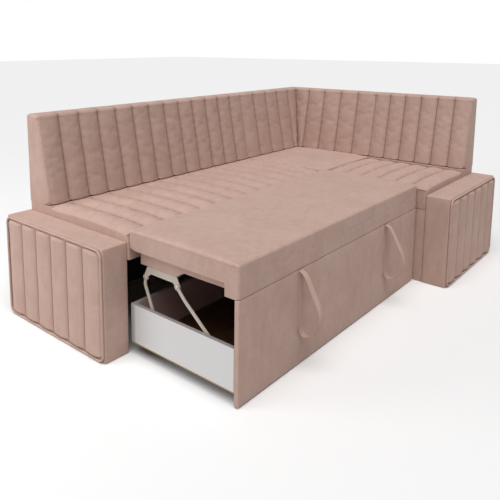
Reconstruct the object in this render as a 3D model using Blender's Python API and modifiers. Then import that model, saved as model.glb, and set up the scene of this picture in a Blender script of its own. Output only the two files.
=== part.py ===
"""Corner kitchen bench with a pull-out bed unit, shown with the bed unit out and its platform raised.

The long side runs along X and the short wing comes forward from its right end. Sizes are in metres.
In the plan used below, x = 0 is the inner face of the left arm, y = 0 is the rear plane of the long
side and forward is -y. One empty carries the whole bench and puts its footprint's centre at the origin.
"""
import math

import bmesh
import bpy
from mathutils import Matrix, Vector

# Fits
TOUCH = 0.0003            # gap left between two pieces that touch
CUT = 0.05                # how far a cutter reaches past what it cuts
WELD = 0.00005            # points closer than this are one point
BOARD_EDGE = 0.001        # broken edge of a bare board
COVERED_EDGE = 0.002      # rounded edge of a board under velvet
PADDED_EDGE = 0.004       # rounded edge of a board with wadding under its velvet
RUNNING = 0.0008          # gap between the platform and the seat's front

# Plan of the bench
LONG_LENGTH = 1.96        # left arm's inner face to the wing's rear plane
WING_LENGTH = 1.155       # rear plane of the long side to the right arm's inner face
SEAT_DEPTH = 0.62
WING_SEAT_DEPTH = 0.645
REAR_SET_BACK = 0.004     # rear plane to the carcass and the seats

# Seats
SEAT_TOP = 0.45
SEAT_THICKNESS = 0.10
SEAT_BOARD = 0.016
SEAT_LIP = 0.012          # upholstery in front of the board's edge
SEAT_CROWN = 0.012
SEAT_REST = 0.004         # rise of the flat stretch that the backs stand on
EDGE_ROLL = 0.012         # how far a cushion's top drops at its edge
EDGE_DRAW = 0.006         # how far a cushion's top edge is drawn in
EDGE_RUN = 0.010          # width of the rolled edge
CREASE = 0.002            # width of the fold where a seat runs under a back
CHANNEL_DEPTH = 0.008
SEAM_FADE = 2.2           # the seam is at full depth where the crown times this is over one
LONG_CHANNELS = 13
WING_CHANNELS = 6
CORNER_CHANNELS = 5       # on each side of the corner; the mitre cuts into the last one
CORNER_TAIL = 0.025       # what the mitre leaves of the last channel at its foot

# Backs
BACK_HEIGHT = 0.3657
BACK_TOP_THICKNESS = 0.078
BACK_FOOT_THICKNESS = 0.146
BACK_ROUND = 0.02         # upper front edge
BACK_FOOT_ROUND = 0.006   # lower front edge, on the seat
BACK_BOARD = 0.012
BACK_BOARD_MARGIN = 0.03

# Arms
ARM_SET_BACK = 0.005      # long seat's front plane to the left arm's end
ARM_WING_SET_BACK = 0.005     # wing seat's front plane to the right arm's end
ARM_THICKNESS = 0.122
ARM_HEIGHT = 0.417
ARM_PAD = 0.013
ARM_CHANNELS = 6
ARM_BOX_ROUND = 0.008     # corner radius of the arm's box
ARM_PAD_ROUND = 0.032     # corner radius of its pad, round the welt
ARM_PAD_MARGIN = 0.002    # strip of the box that shows round the welt
PAD_SHOULDER = 0.035      # width of the pad's rounded top and bottom
WELT_RADIUS = 0.005
CORNER_EASE = 0.001       # extra room between a pad's rounded corner and its welt

# Carcass of the long bay, the corner and the wing box
PANEL = 0.016
BAY_WALL_SET_BACK = 0.14  # front face of the bay's rear wall, from the rear plane
WING_PANEL_SET_BACK = 0.010
WING_FLOOR_HEIGHT = 0.03

# Wing lid hinges
LID_GAP = 0.008           # slot behind the wing lid, where its hinges sit
LID_UNDERCUT = 0.008      # set-back of the lip's lower edge, so that it swings up clear of the platform
HINGE_KNUCKLE = 0.0032
HINGE_NOTCH = 0.0042      # radius of the room cut in one leaf for the other leaf's knuckle
HINGE_PIN = 0.0016
HINGE_LEAF = 0.0015
HINGE_LEAF_HEIGHT = 0.034
HINGE_LENGTH = 0.05
HINGE_DROP = 0.014        # seat's top to the hinge line
HINGE_INSET = 0.11        # from each end of the lid to its hinge's middle

# Pull-out bed unit
BED_GAP = 0.0015          # each side of the bed unit, to the left arm and to the wing
BED_DEPTH = 0.495         # seat's front plane to the unit's front plane
PLATFORM_RISE = 0.013     # platform's top above the seat's top
PLATFORM_THICKNESS = 0.071
PLATFORM_CROWN = 0.002
FASCIA_THICKNESS = 0.056
PLATFORM_ROUND = 0.010
FASCIA_EDGE = 0.004       # rounding of the fascia's lower edge
FRONT_PANEL = 0.018
FRONT_PANEL_CLEARANCE = 0.004
DRAWER_SIDE = 0.0155
DRAWER_BOARD = 0.003
DRAWER_HEIGHT = 0.144
DRAWER_MARGIN = 0.001     # unit's side plane to the drawer's side
DRAWER_GAP = 0.0055       # seat's front plane to the drawer's rear end

# Castors
WHEEL_RADIUS = 0.0195
WHEEL_WIDTH = 0.016
TREAD_ROUND = 0.003
WHEEL_CLEARANCE = 0.0048  # wheel's top to the fork's plate
AXLE_RADIUS = 0.003
AXLE_PLAY = 0.0004
CASTOR_CHEEK = 0.0016
CHEEK_MARGIN = 0.004      # metal round the axle in a fork's cheek
CASTOR_PLATE = 0.0016
CASTOR_PLATE_LENGTH = 0.036
CASTOR_INSET = 0.07       # drawer's side to the wheel's middle
CASTOR_REAR = 0.04        # drawer's rear end to the wheel's axle
CASTOR_FRONT = 0.05       # front panel to the wheel's axle

# Frame under the platform; its side rails are deep at the rear and shallow at the front
RAIL_INSET = 0.022        # platform's edge to the rail's outer face
RAIL_THICKNESS = 0.020
RAIL_OVERHANG = 0.037     # seat's front plane to the rails' rear end
RAIL_DEEP = 0.052
RAIL_SHALLOW = 0.0295
RAIL_DEEP_LENGTH = 0.173
RAIL_SLOPE_LENGTH = 0.039

# Lift linkage; each offset is (distance forward, height)
PLATE_THICKNESS = 0.003
PLATE_INSET = 0.033       # rail's rear end to the plate's rear end
PLATE_LENGTH = 0.142
PLATE_HEIGHT = 0.025
PLATE_FLANGE = 0.018
EAR_RUN = 0.017           # length over which an ear runs into the plate's lower edge
REAR_EAR = (-0.007, -0.016)       # plate's lower rear corner to the rear pivot
FRONT_EAR = (0.005, -0.009)       # plate's lower front corner to the front pivot
REAR_LINK_BEND = (-0.003, -0.026)     # rear pivot to the bend in the rear link
FRONT_LINK_BEND = (0.035, -0.037)     # front pivot to the bend in the front link
REAR_PIVOT_FORWARD = 0.1279       # drawer's rear end to the rear link's lower pivot
FRONT_PIVOT_FORWARD = 0.4526      # drawer's rear end to the front link's lower pivot
LOWER_PIVOT_RISE = 0.051          # drawer's underside to both lower pivots
LINK_THICKNESS = 0.004
LINK_WIDTH = 0.012
LINK_EYE = 0.011
OPEN_EYE = 0.013          # the front link's lower eye, which has play round its pin
PIN_RADIUS = 0.004
PIN_PLAY = 0.0003
OPEN_PIN_PLAY = 0.0034    # play of the front link's lower eye
RIVET_RADIUS = 0.0065
RIVET_HEAD = 0.0014
WASHER_OVERLAP = 0.004    # how far the open eye's washer reaches past its hole
BRACKET_MARGIN = 0.018

# Pull straps
FIRST_STRAP_OFFSET = 0.332    # unit's left side to the top of the first strap
SECOND_STRAP_OFFSET = 0.320   # unit's right side to the top of the second strap
STRAP_SEAM = 0.005        # front panel's top to the strap's top
STRAP_DROP = 0.16         # strap's top down to the loop's centre
STRAP_LOOP_RADIUS = 0.048
STRAP_WIDTH = 0.025
STRAP_THICKNESS = 0.003
STRAP_SEWN = 0.018        # length over which the strap's two ends are sewn together

# Worked out from the sizes above
SEAT_UNDERSIDE = SEAT_TOP - SEAT_THICKNESS
SEAT_FLAT = SEAT_TOP + SEAT_REST
BOARD_TOP = SEAT_UNDERSIDE + SEAT_BOARD
BACK_FOOT = SEAT_FLAT + TOUCH
BACK_TOP = BACK_FOOT + BACK_HEIGHT
WING_X = LONG_LENGTH - WING_SEAT_DEPTH
WING_FRONT_X = WING_X + WING_PANEL_SET_BACK
WALL_X = LONG_LENGTH - BACK_FOOT_THICKNESS
LID_REAR_X = WALL_X - LID_GAP
HINGE_X = LID_REAR_X + LID_GAP / 2
HINGE_HEIGHT = SEAT_TOP - HINGE_DROP
LEFT_ARM_LENGTH = SEAT_DEPTH - ARM_SET_BACK
RIGHT_ARM_LENGTH = WING_SEAT_DEPTH - ARM_WING_SET_BACK
CORNER_REAR_PITCH = (WING_SEAT_DEPTH - BACK_FOOT_THICKNESS - CORNER_TAIL) / (CORNER_CHANNELS - 1)
CORNER_SIDE_PITCH = (SEAT_DEPTH - BACK_FOOT_THICKNESS - CORNER_TAIL) / (CORNER_CHANNELS - 1)
BED_LEFT = BED_GAP
BED_RIGHT = WING_X - BED_GAP
BED_REACH = SEAT_DEPTH + BED_DEPTH
PLATFORM_TOP = SEAT_TOP + PLATFORM_RISE
PLATFORM_UNDERSIDE = PLATFORM_TOP - PLATFORM_THICKNESS
FASCIA_BOTTOM = SEAT_UNDERSIDE + TOUCH
DRAWER_REAR = SEAT_DEPTH + DRAWER_GAP
FORK_TOP = 2 * WHEEL_RADIUS + WHEEL_CLEARANCE + CASTOR_PLATE
DRAWER_UNDERSIDE = FORK_TOP + 2 * TOUCH + DRAWER_BOARD
DRAWER_RIM = DRAWER_UNDERSIDE + DRAWER_HEIGHT
RAIL_REAR = SEAT_DEPTH + RAIL_OVERHANG
RAIL_STEP = RAIL_REAR + RAIL_DEEP_LENGTH
RAIL_RISE_END = RAIL_STEP + RAIL_SLOPE_LENGTH
RAIL_DEEP_BOTTOM = PLATFORM_UNDERSIDE - RAIL_DEEP
RAIL_SHALLOW_BOTTOM = PLATFORM_UNDERSIDE - RAIL_SHALLOW
PLATE_REAR = RAIL_REAR + PLATE_INSET
PLATE_FRONT = PLATE_REAR + PLATE_LENGTH
PLATE_BOTTOM = RAIL_DEEP_BOTTOM - PLATE_HEIGHT
CENTRE = Vector(((LONG_LENGTH - ARM_THICKNESS) / 2, -(WING_LENGTH + ARM_THICKNESS) / 2, 0.0))

# Pivots of the linkage as (distance forward of the rear plane, height)
REAR_PIVOT_UP = (PLATE_REAR + REAR_EAR[0], PLATE_BOTTOM + REAR_EAR[1])
FRONT_PIVOT_UP = (PLATE_FRONT + FRONT_EAR[0], PLATE_BOTTOM + FRONT_EAR[1])
REAR_PIVOT_LOW = (DRAWER_REAR + REAR_PIVOT_FORWARD, DRAWER_UNDERSIDE + LOWER_PIVOT_RISE)
FRONT_PIVOT_LOW = (DRAWER_REAR + FRONT_PIVOT_FORWARD, DRAWER_UNDERSIDE + LOWER_PIVOT_RISE)

# Colour, roughness and metallic value of each finish
VELVET = ((0.56, 0.40, 0.34), 0.85, 0.0)
LAMINATE = ((0.70, 0.69, 0.70), 0.45, 0.0)
HARDBOARD = ((0.09, 0.05, 0.03), 0.6, 0.0)
LINING = ((0.012, 0.012, 0.013), 0.9, 0.0)
PLYWOOD = ((0.55, 0.40, 0.25), 0.7, 0.0)
PAINTED_STEEL = ((0.60, 0.54, 0.45), 0.45, 0.2)
ZINC_STEEL = ((0.55, 0.56, 0.57), 0.35, 1.0)
BLACK_PLASTIC = ((0.03, 0.03, 0.03), 0.5, 0.0)


def clear_scene():
    """Removes whatever the file holds, so that the model starts from nothing."""
    for thing in list(bpy.data.objects):
        bpy.data.objects.remove(thing, do_unlink=True)
    for kind in (bpy.data.meshes, bpy.data.curves, bpy.data.materials, bpy.data.collections):
        for block in list(kind):
            kind.remove(block)


def new_collection(name):
    made = bpy.data.collections.new(name)
    bpy.context.scene.collection.children.link(made)
    return made


clear_scene()
PARTS = new_collection("corner_bench")
CUTTERS = new_collection("cutters")


def new_empty(name, parent, place):
    """An empty at a place in the plan, under its parent empty."""
    empty = bpy.data.objects.new(name, None)
    PARTS.objects.link(empty)
    empty["plan"] = tuple(place)
    if parent is None:
        empty.location = Vector(place) - CENTRE
    else:
        empty.parent = parent
        empty.location = Vector(place) - Vector(parent["plan"])
    return empty


def seat_at(obj, body, place, turn=(0, 0, 0)):
    """Hangs an object under a body's empty, with its own origin at a place in the plan."""
    obj.parent = body
    obj.location = Vector(place) - Vector(body["plan"])
    obj.rotation_euler = [math.radians(angle) for angle in turn]
    return obj


def dress(obj, finish):
    """Gives an object a material of its own in one of the finishes."""
    colour, roughness, metallic = finish
    made = bpy.data.materials.new(obj.name + "_finish")
    made.use_nodes = True
    shader = made.node_tree.nodes["Principled BSDF"]
    shader.inputs["Base Color"].default_value = (*colour, 1.0)
    shader.inputs["Roughness"].default_value = roughness
    shader.inputs["Metallic"].default_value = metallic
    obj.data.materials.clear()
    obj.data.materials.append(made)
    return obj


def object_from(bm, name, collection=None, smooth=False):
    """Turns a bmesh into an object with its faces pointing out."""
    bmesh.ops.recalc_face_normals(bm, faces=bm.faces)
    mesh = bpy.data.meshes.new(name)
    bm.to_mesh(mesh)
    bm.free()
    if smooth:
        mesh.shade_smooth()
        mesh.set_sharp_from_angle(angle=math.radians(35))
    obj = bpy.data.objects.new(name, mesh)
    (collection or PARTS).objects.link(obj)
    return obj


def bevel(obj, width, segments=1):
    rounding = obj.modifiers.new("rounded_edges", "BEVEL")
    rounding.width = width
    rounding.segments = segments
    rounding.limit_method = "ANGLE"
    rounding.angle_limit = math.radians(40)
    return obj


def box_mesh(name, low, high, collection=None):
    """A box between two corners of the plan, with its origin at its middle; also gives the middle."""
    low, high = Vector(low), Vector(high)
    bm = bmesh.new()
    bmesh.ops.create_cube(bm, size=1.0, matrix=Matrix.Diagonal((*(high - low), 1.0)))
    return object_from(bm, name, collection), (low + high) / 2


def board(name, body, low, high, finish, edge=BOARD_EDGE):
    """A flat panel with its long edges just broken."""
    obj, middle = box_mesh(name, low, high)
    if edge:
        bevel(obj, edge)
    return dress(seat_at(obj, body, middle), finish)


def cut_box(target, body, low, high):
    """Takes a box-shaped recess out of a piece."""
    cutter, middle = box_mesh(target.name + "_recess", low, high, CUTTERS)
    seat_at(cutter, body, middle)
    boolean(target, cutter, "DIFFERENCE")


def boolean(target, other, operation):
    """Joins or cuts a piece with another, which is left as a guide."""
    other.hide_render = True
    other.display_type = "WIRE"
    step = target.modifiers.new(other.name, "BOOLEAN")
    step.operation = operation
    step.solver = "EXACT"
    step.object = other


def loft(name, rings, smooth=True):
    """A closed body through rings of the same number of points, with flat ends."""
    bm = bmesh.new()
    rows = [[bm.verts.new(point) for point in ring] for ring in rings]
    count = len(rows[0])
    for near, far in zip(rows, rows[1:]):
        for i in range(count):
            j = (i + 1) % count
            bm.faces.new((near[i], near[j], far[j], far[i]))
    bm.faces.new(rows[0])
    bm.faces.new(rows[-1])
    return object_from(bm, name, smooth=smooth)


def ribbon_points(points, radius):
    """Outline of a flat bar along a line of points, with a round eye at each end."""
    ends = []
    for (a, b) in ((points[0], points[1]), (points[-1], points[-2])):
        away = math.atan2(a[1] - b[1], a[0] - b[0])
        spread = math.asin(LINK_WIDTH / 2 / radius[len(ends)])
        turns = 10
        arc = [away + (math.pi - spread) * (2 * k / turns - 1) for k in range(turns + 1)]
        ends.append([(a[0] + radius[len(ends)] * math.cos(t), a[1] + radius[len(ends)] * math.sin(t))
                     for t in arc])
    half = LINK_WIDTH / 2
    sides = {-1: [], 1: []}
    for before, here, after in zip(points, points[1:], points[2:]):
        run_in = Vector((here[0] - before[0], here[1] - before[1])).normalized()
        run_out = Vector((after[0] - here[0], after[1] - here[1])).normalized()
        along = (run_in + run_out).normalized()
        across = Vector((-along.y, along.x)) * half / max(along.dot(run_in), 0.5)
        for side in (-1, 1):
            sides[side].append((here[0] + side * across.x, here[1] + side * across.y))
    return ends[0] + sides[-1] + ends[1] + sides[1][::-1]


def circle_points(centre, radius, count=16):
    return [(centre[0] + radius * math.cos(2 * math.pi * k / count),
             centre[1] + radius * math.sin(2 * math.pi * k / count)) for k in range(count)]


def rounded_outline(low, high, radius, steps=4):
    """Rectangle outline with rounded corners, from the low corner round."""
    corners = ((low[0] + radius, low[1] + radius, 180), (high[0] - radius, low[1] + radius, 270),
               (high[0] - radius, high[1] - radius, 0), (low[0] + radius, high[1] - radius, 90))
    points = []
    for x, y, start in corners:
        for k in range(steps + 1):
            turn = math.radians(start + 90 * k / steps)
            points.append((x + radius * math.cos(turn), y + radius * math.sin(turn)))
    return points


def flat_shape(name, loops, thickness):
    """A plate cut to an outline, with holes, as a filled flat curve made into a mesh."""
    curve = bpy.data.curves.new(name + "_outline", "CURVE")
    curve.dimensions = "2D"
    curve.fill_mode = "BOTH"
    curve.extrude = thickness / 2
    for points in loops:
        spline = curve.splines.new("POLY")
        spline.points.add(len(points) - 1)
        for target, (x, y) in zip(spline.points, points):
            target.co = (x, y, 0.0, 1.0)
        spline.use_cyclic_u = True
    drawn = bpy.data.objects.new(name + "_outline", curve)
    PARTS.objects.link(drawn)
    bpy.context.view_layer.update()
    bm = bmesh.new()
    seen = bpy.data.meshes.new_from_object(drawn.evaluated_get(bpy.context.evaluated_depsgraph_get()))
    bm.from_mesh(seen)
    bpy.data.objects.remove(drawn, do_unlink=True)
    bpy.data.meshes.remove(seen)
    bmesh.ops.remove_doubles(bm, verts=bm.verts, dist=WELD)
    return object_from(bm, name)


# A flat shape turned by SIDEWAYS stands in the YZ plane: its x is the plan's y, its y is the height.
SIDEWAYS = (90, 0, 90)
# A flat shape turned by FACING stands in the XZ plane.
FACING = (90, 0, 0)


def rib(along, pitch):
    """Height of a sewn channel across its width: nothing at the seams and one in the middle."""
    return abs(math.sin(math.pi * along / pitch)) ** 0.6


def stations(start, end, channels, per_channel=4):
    """Places across a row of channels, four to a channel, with one more close to each end."""
    count = channels * per_channel
    places = [start + (end - start) * i / count for i in range(count + 1)]
    near = 1.5 * EDGE_DRAW
    return [places[0], places[0] + near, *places[1:-1], places[-1] - near, places[-1]]


def extrude_rim(bm, rim):
    """Grows a strip of faces from an open rim; gives the new points and the new rim."""
    grown = bmesh.ops.extrude_edge_only(bm, edges=rim)["geom"]
    points = [item for item in grown if isinstance(item, bmesh.types.BMVert)]
    return points, [item for item in grown if isinstance(item, bmesh.types.BMEdge)]


def quilted_block(name, body, xs, ys, top, floor, undercut=0.0):
    """A cushion from a grid: its top follows a formula, its edge is drawn in, its underside is flat.

    undercut sets the underside back on the side of low x, so that the wall there slopes in.
    """
    bm = bmesh.new()
    across, deep = len(xs) - 1, len(ys) - 1
    bmesh.ops.create_grid(bm, x_segments=across, y_segments=deep, size=0.5)
    middle = Vector(((xs[0] + xs[-1]) / 2, (ys[0] + ys[-1]) / 2, floor))
    half_x, half_y = (xs[-1] - xs[0]) / 2, (ys[-1] - ys[0]) / 2
    for vert in bm.verts:
        i, j = round((vert.co.x + 0.5) * across), round((vert.co.y + 0.5) * deep)
        drawn_x = xs[i] + EDGE_DRAW * ((i == 0) - (i == across))
        drawn_y = ys[j] + EDGE_DRAW * ((j == 0) - (j == deep))
        vert.co = Vector((drawn_x, drawn_y, top(xs[i], ys[j]))) - middle
    shoulder, rim = extrude_rim(bm, [edge for edge in bm.edges if edge.is_boundary])
    for vert in shoulder:
        if half_x - abs(vert.co.x) < 1.01 * EDGE_DRAW:
            vert.co.x = math.copysign(half_x, vert.co.x)
        if half_y - abs(vert.co.y) < 1.01 * EDGE_DRAW:
            vert.co.y = math.copysign(half_y, vert.co.y)
        vert.co.z -= EDGE_ROLL
    underside, rim = extrude_rim(bm, rim)
    for vert in underside:
        vert.co.z = 0.0
        if vert.co.x < EDGE_DRAW - half_x:
            vert.co.x += undercut
    bmesh.ops.holes_fill(bm, edges=rim, sides=0)
    obj = object_from(bm, name, smooth=True)
    return dress(seat_at(obj, body, middle), VELVET)


def back_section(inset, depth_cut):
    """Outline of a back, as (distance from its rear plane, height), from its rear foot round.

    inset draws the whole outline in, towards the ends; depth_cut lowers the front between two channels.
    """
    low, high = BACK_FOOT, BACK_TOP - inset
    lean = (BACK_FOOT_THICKNESS - BACK_TOP_THICKNESS) / (BACK_TOP - BACK_FOOT)

    def front(z, share=1.0):
        return BACK_FOOT_THICKNESS - lean * (z - BACK_FOOT) - inset - depth_cut * share

    r, foot = BACK_ROUND, BACK_FOOT_ROUND
    points = [(0.0, low), (front(low) - foot, low), (front(low) - 0.3 * foot, low + 0.3 * foot),
              (front(low + foot), low + foot)]
    for share in (0.35, 0.7):
        z = low + share * (high - low)
        points.append((front(z), z))
    points += [(front(high - r, 0.8), high - r), (front(high, 0.3) - 0.3 * r, high - 0.3 * r),
               (front(high, 0.0) - r, high), (0.3 * r, high), (0.0, high - 0.3 * r)]
    return points


def end_inset(place, start, end):
    """How far a cushion is drawn in at its two ends."""
    return EDGE_DRAW * roll(min(abs(place - start), abs(end - place)), EDGE_RUN) ** 2


def back_rings(start, pitch, channels, to_plan, mitre=None):
    """Rings along a back, channel by channel; a mitre plane cuts the last channel in the corner."""
    end = start + pitch * channels
    settle = end - pitch
    rings = []
    for place in stations(start, end, channels):
        cut = CHANNEL_DEPTH * (1 - rib(place - start, pitch))
        inset = end_inset(place, start, end if mitre is None else end + 1.0)
        ring = []
        for depth, height in back_section(inset, cut):
            along = place
            if mitre is not None and place > settle:
                along = settle + (place - settle) * (mitre - depth - settle) / pitch
            ring.append(to_plan(along, depth, height))
        rings.append(ring)
    return rings


def add_back(name, body, start, pitch, channels, to_plan, origin, mitre=None):
    """A channelled back between two heights, before the recess for its board is cut."""
    rings = back_rings(start, pitch, channels, to_plan, mitre)
    moved = [[Vector(point) - Vector(origin) for point in ring] for ring in rings]
    obj = loft(name, moved)
    return dress(seat_at(obj, body, origin), VELVET)


def long_plan(along, depth, height):
    """A point of a back on the long side."""
    return (along, -depth, height)


def wing_plan(along, depth, height):
    """A point of a back on the wing."""
    return (LONG_LENGTH - depth, along, height)


def run(start, end, steps):
    """Evenly spaced places from start to end."""
    return [start + (end - start) * i / steps for i in range(steps + 1)]


def roll(distance, width=2 * EDGE_RUN):
    """How much of a rolled edge's drop is left at a distance from the edge."""
    return max(0.0, 1 - distance / width)


def swell(share):
    """Crown of a cushion, from nothing at its edges to one in its middle."""
    return max(0.0, math.sin(math.pi * min(max(share, 0.0), 1.0))) ** 0.8


def seam_fade(share):
    """How much of a seam's depth is left at a share of its length: it runs out at both ends."""
    return min(1.0, SEAM_FADE * swell(min(max(share, 0.02), 1.0)))


def make_long_seat(bench):
    """The channelled seat over the bay, with a lip that hides its board's front edge."""
    front, foot, rear = -SEAT_DEPTH, -BACK_FOOT_THICKNESS, -REAR_SET_BACK
    board("long_seat_board", bench, (TOUCH, front + SEAT_LIP + TOUCH, SEAT_UNDERSIDE),
          (WING_X - TOUCH, rear, BOARD_TOP), PLYWOOD)
    rows = [front, front + EDGE_RUN, *run(front + 3 * EDGE_RUN, foot - 3 * EDGE_RUN, 5), foot - CREASE, rear]
    pitch = WING_X / LONG_CHANNELS

    def top(x, y):
        if y > foot - 1.5 * CREASE:
            return SEAT_FLAT - TOUCH
        share = (y - front) / (foot - front)
        drop = EDGE_ROLL * (roll(y - front) + 0.5 * roll(min(x, WING_X - x)))
        fade = seam_fade(share)
        seam = CHANNEL_DEPTH * (1 - rib(x, pitch)) * fade
        return SEAT_FLAT - TOUCH + SEAT_CROWN * swell(share) - drop - seam

    columns = stations(TOUCH, WING_X - TOUCH, LONG_CHANNELS)
    seat = quilted_block("long_seat_cushion", bench, columns, rows, top, SEAT_UNDERSIDE)
    cut_box(seat, bench, (-CUT, front + SEAT_LIP, SEAT_UNDERSIDE - CUT),
            (WING_X + CUT, CUT, BOARD_TOP + TOUCH))


def make_corner_seat(bench):
    """The plain seat in the corner, which both backs stand on."""
    left, front = WING_X + TOUCH, -SEAT_DEPTH + TOUCH
    right, rear = LONG_LENGTH - REAR_SET_BACK, -REAR_SET_BACK
    foot = -BACK_FOOT_THICKNESS
    board("corner_seat_board", bench, (left, front, SEAT_UNDERSIDE), (right, rear, BOARD_TOP), PLYWOOD)
    xs = [left, left + EDGE_RUN, *run(left + 5 * EDGE_RUN, WALL_X - 3 * EDGE_RUN, 4), WALL_X - CREASE, right]
    ys = [front, front + EDGE_RUN, *run(front + 5 * EDGE_RUN, foot - 3 * EDGE_RUN, 4), foot - CREASE, rear]

    def top(x, y):
        if y > foot - 1.5 * CREASE or x > WALL_X - 1.5 * CREASE:
            return SEAT_FLAT - TOUCH
        across, deep = (x - left) / (WALL_X - left), (y - front) / (foot - front)
        drop = 0.5 * EDGE_ROLL * roll(min(x - left, y - front))
        return SEAT_FLAT - TOUCH + SEAT_CROWN * swell(across) * swell(deep) - drop

    quilted_block("corner_seat_cushion", bench, xs, ys, top, BOARD_TOP + TOUCH)


def make_wing_seat(lid):
    """The wing's seat, which is the lid of the storage box, on its plywood frame."""
    low, high = -WING_LENGTH + 2 * TOUCH, -SEAT_DEPTH - TOUCH
    strip_x = LID_REAR_X - SEAT_BOARD
    strip_top = HINGE_HEIGHT - HINGE_KNUCKLE - CREASE
    front_x, under = WING_X + SEAT_LIP + TOUCH, SEAT_UNDERSIDE + TOUCH
    profile = [(front_x, under), (LID_REAR_X, under), (LID_REAR_X, strip_top), (strip_x, strip_top),
               (strip_x, BOARD_TOP + TOUCH), (front_x, BOARD_TOP + TOUCH)]
    frame = flat_shape("wing_lid_frame", [profile], high - low)
    hang_flat(frame, lid, (0.0, (low + high) / 2, 0.0), FACING, PLYWOOD)

    pitch = (high - low) / WING_CHANNELS
    xs = [WING_X, WING_X + EDGE_RUN, *run(WING_X + 3 * EDGE_RUN, LID_REAR_X - 4 * EDGE_RUN, 4),
          LID_REAR_X - 2 * EDGE_RUN, LID_REAR_X]

    def top(x, y):
        share = (x - WING_X) / (LID_REAR_X - WING_X)
        drop = EDGE_ROLL * (roll(x - WING_X) + roll(LID_REAR_X - x) + 0.5 * roll(min(y - low, high - y)))
        fade = seam_fade(share)
        seam = CHANNEL_DEPTH * (1 - rib(y - low, pitch)) * fade
        return SEAT_TOP + SEAT_CROWN * swell(share) - drop - seam

    seat = quilted_block("wing_seat_cushion", lid, xs, stations(low, high, WING_CHANNELS), top,
                         SEAT_UNDERSIDE + TOUCH, LID_UNDERCUT)
    beyond = (LID_REAR_X + CUT, high + CUT)
    cut_box(seat, lid, (WING_X + SEAT_LIP, low - CUT, SEAT_UNDERSIDE - CUT), (*beyond, BOARD_TOP + 2 * TOUCH))
    cut_box(seat, lid, (strip_x - TOUCH, low - CUT, SEAT_UNDERSIDE - CUT), (*beyond, strip_top + TOUCH))


def hang_flat(obj, body, place, turn, finish):
    """Seats a flat shape whose outline is written in the plan's own values."""
    offset = Vector(place)
    matrix = Matrix.Rotation(math.radians(turn[2]), 3, "Z") @ Matrix.Rotation(math.radians(turn[0]), 3, "X")
    middle = sum((Vector(corner) for corner in obj.bound_box), Vector()) / 8
    middle.z = 0.0
    for vert in obj.data.vertices:
        vert.co -= middle
    return dress(seat_at(obj, body, offset + matrix @ middle, turn), finish)


def make_backs(bench):
    """The four channelled backs, their boards and the rail under the wing's back."""
    end = LONG_LENGTH
    low, high = -WING_LENGTH + 2 * TOUCH, -SEAT_DEPTH - TOUCH
    long_pitch = (WING_X - 2 * TOUCH) / LONG_CHANNELS
    long_back = add_back("long_back_cushion", bench, TOUCH, long_pitch, LONG_CHANNELS, long_plan,
                         (WING_X / 2, 0.0, BACK_FOOT))
    rear = add_back("corner_back_rear_cushion", bench, WING_X + TOUCH, CORNER_REAR_PITCH, CORNER_CHANNELS,
                    long_plan, ((WING_X + end) / 2, 0.0, BACK_FOOT), mitre=end - TOUCH)
    side = add_back("corner_back_side_cushion", bench, TOUCH - SEAT_DEPTH, CORNER_SIDE_PITCH, CORNER_CHANNELS,
                    wing_plan, (end, -SEAT_DEPTH / 2, BACK_FOOT), mitre=-2 * TOUCH)
    wing = add_back("wing_back_cushion", bench, low, (high - low) / WING_CHANNELS, WING_CHANNELS,
                    wing_plan, (end, (low + high) / 2, BACK_FOOT))
    top, margin, corner = BACK_TOP - BACK_BOARD_MARGIN, BACK_BOARD_MARGIN, 2 * BACK_BOARD_MARGIN
    face = end - BACK_BOARD
    spans = ((long_back, "long_back_board", (margin, -BACK_BOARD), (WING_X - margin, 0.0)),
             (rear, "corner_back_rear_board", (WING_X + margin, -BACK_BOARD), (end - corner, 0.0)),
             (side, "corner_back_side_board", (face, -SEAT_DEPTH + margin), (end, -corner)),
             (wing, "wing_back_board", (face, -WING_LENGTH + margin), (end, -SEAT_DEPTH - margin)))
    for cushion, name, low, high in spans:
        board(name, bench, (*low, BACK_FOOT), (*high, top), LINING, edge=0)
        open_x = CUT if high[0] == end else TOUCH
        open_y = CUT if high[1] == 0.0 else TOUCH
        cut_box(cushion, bench, (low[0] - TOUCH, low[1] - TOUCH, BACK_FOOT - CUT),
                (high[0] + open_x, high[1] + open_y, top + TOUCH))
    board("wing_back_rail", bench, (WALL_X, -WING_LENGTH + 2 * TOUCH, SEAT_UNDERSIDE),
          (end - REAR_SET_BACK, -SEAT_DEPTH - TOUCH, SEAT_FLAT), VELVET, edge=COVERED_EDGE)


def make_carcass(bench):
    """The walls of the bay under the long seat, the corner's walls and the wing's storage box."""
    top = SEAT_UNDERSIDE - TOUCH
    wall_y = -BAY_WALL_SET_BACK
    inner, outer = WING_FRONT_X + PANEL, LONG_LENGTH - PANEL - REAR_SET_BACK
    board("bay_rear_wall", bench, (TOUCH, wall_y, 0.0), (outer - TOUCH, wall_y + PANEL, top), LINING)
    board("bay_right_wall", bench, (WING_X + TOUCH, -SEAT_DEPTH + TOUCH, 0.0),
          (WING_X + TOUCH + PANEL, wall_y - TOUCH, top), LINING)
    low, high = -WING_LENGTH + 2 * TOUCH, -SEAT_DEPTH - TOUCH
    board("wing_rear_wall", bench, (outer, low, 0.0), (outer + PANEL, wall_y + PANEL, top), LINING)
    board("wing_front_panel", bench, (WING_FRONT_X, low, 0.0), (inner, high, top), VELVET, edge=COVERED_EDGE)
    left, right = inner + TOUCH, outer - TOUCH
    board("wing_box_divider", bench, (left, high - PANEL, 0.0), (right, high, top), LAMINATE)
    board("wing_box_end", bench, (left, low, 0.0), (right, low + PANEL, top), LAMINATE)
    board("wing_box_floor", bench, (left, low + PANEL + TOUCH, WING_FLOOR_HEIGHT),
          (right, high - PANEL - TOUCH, WING_FLOOR_HEIGHT + PANEL), HARDBOARD)


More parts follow.
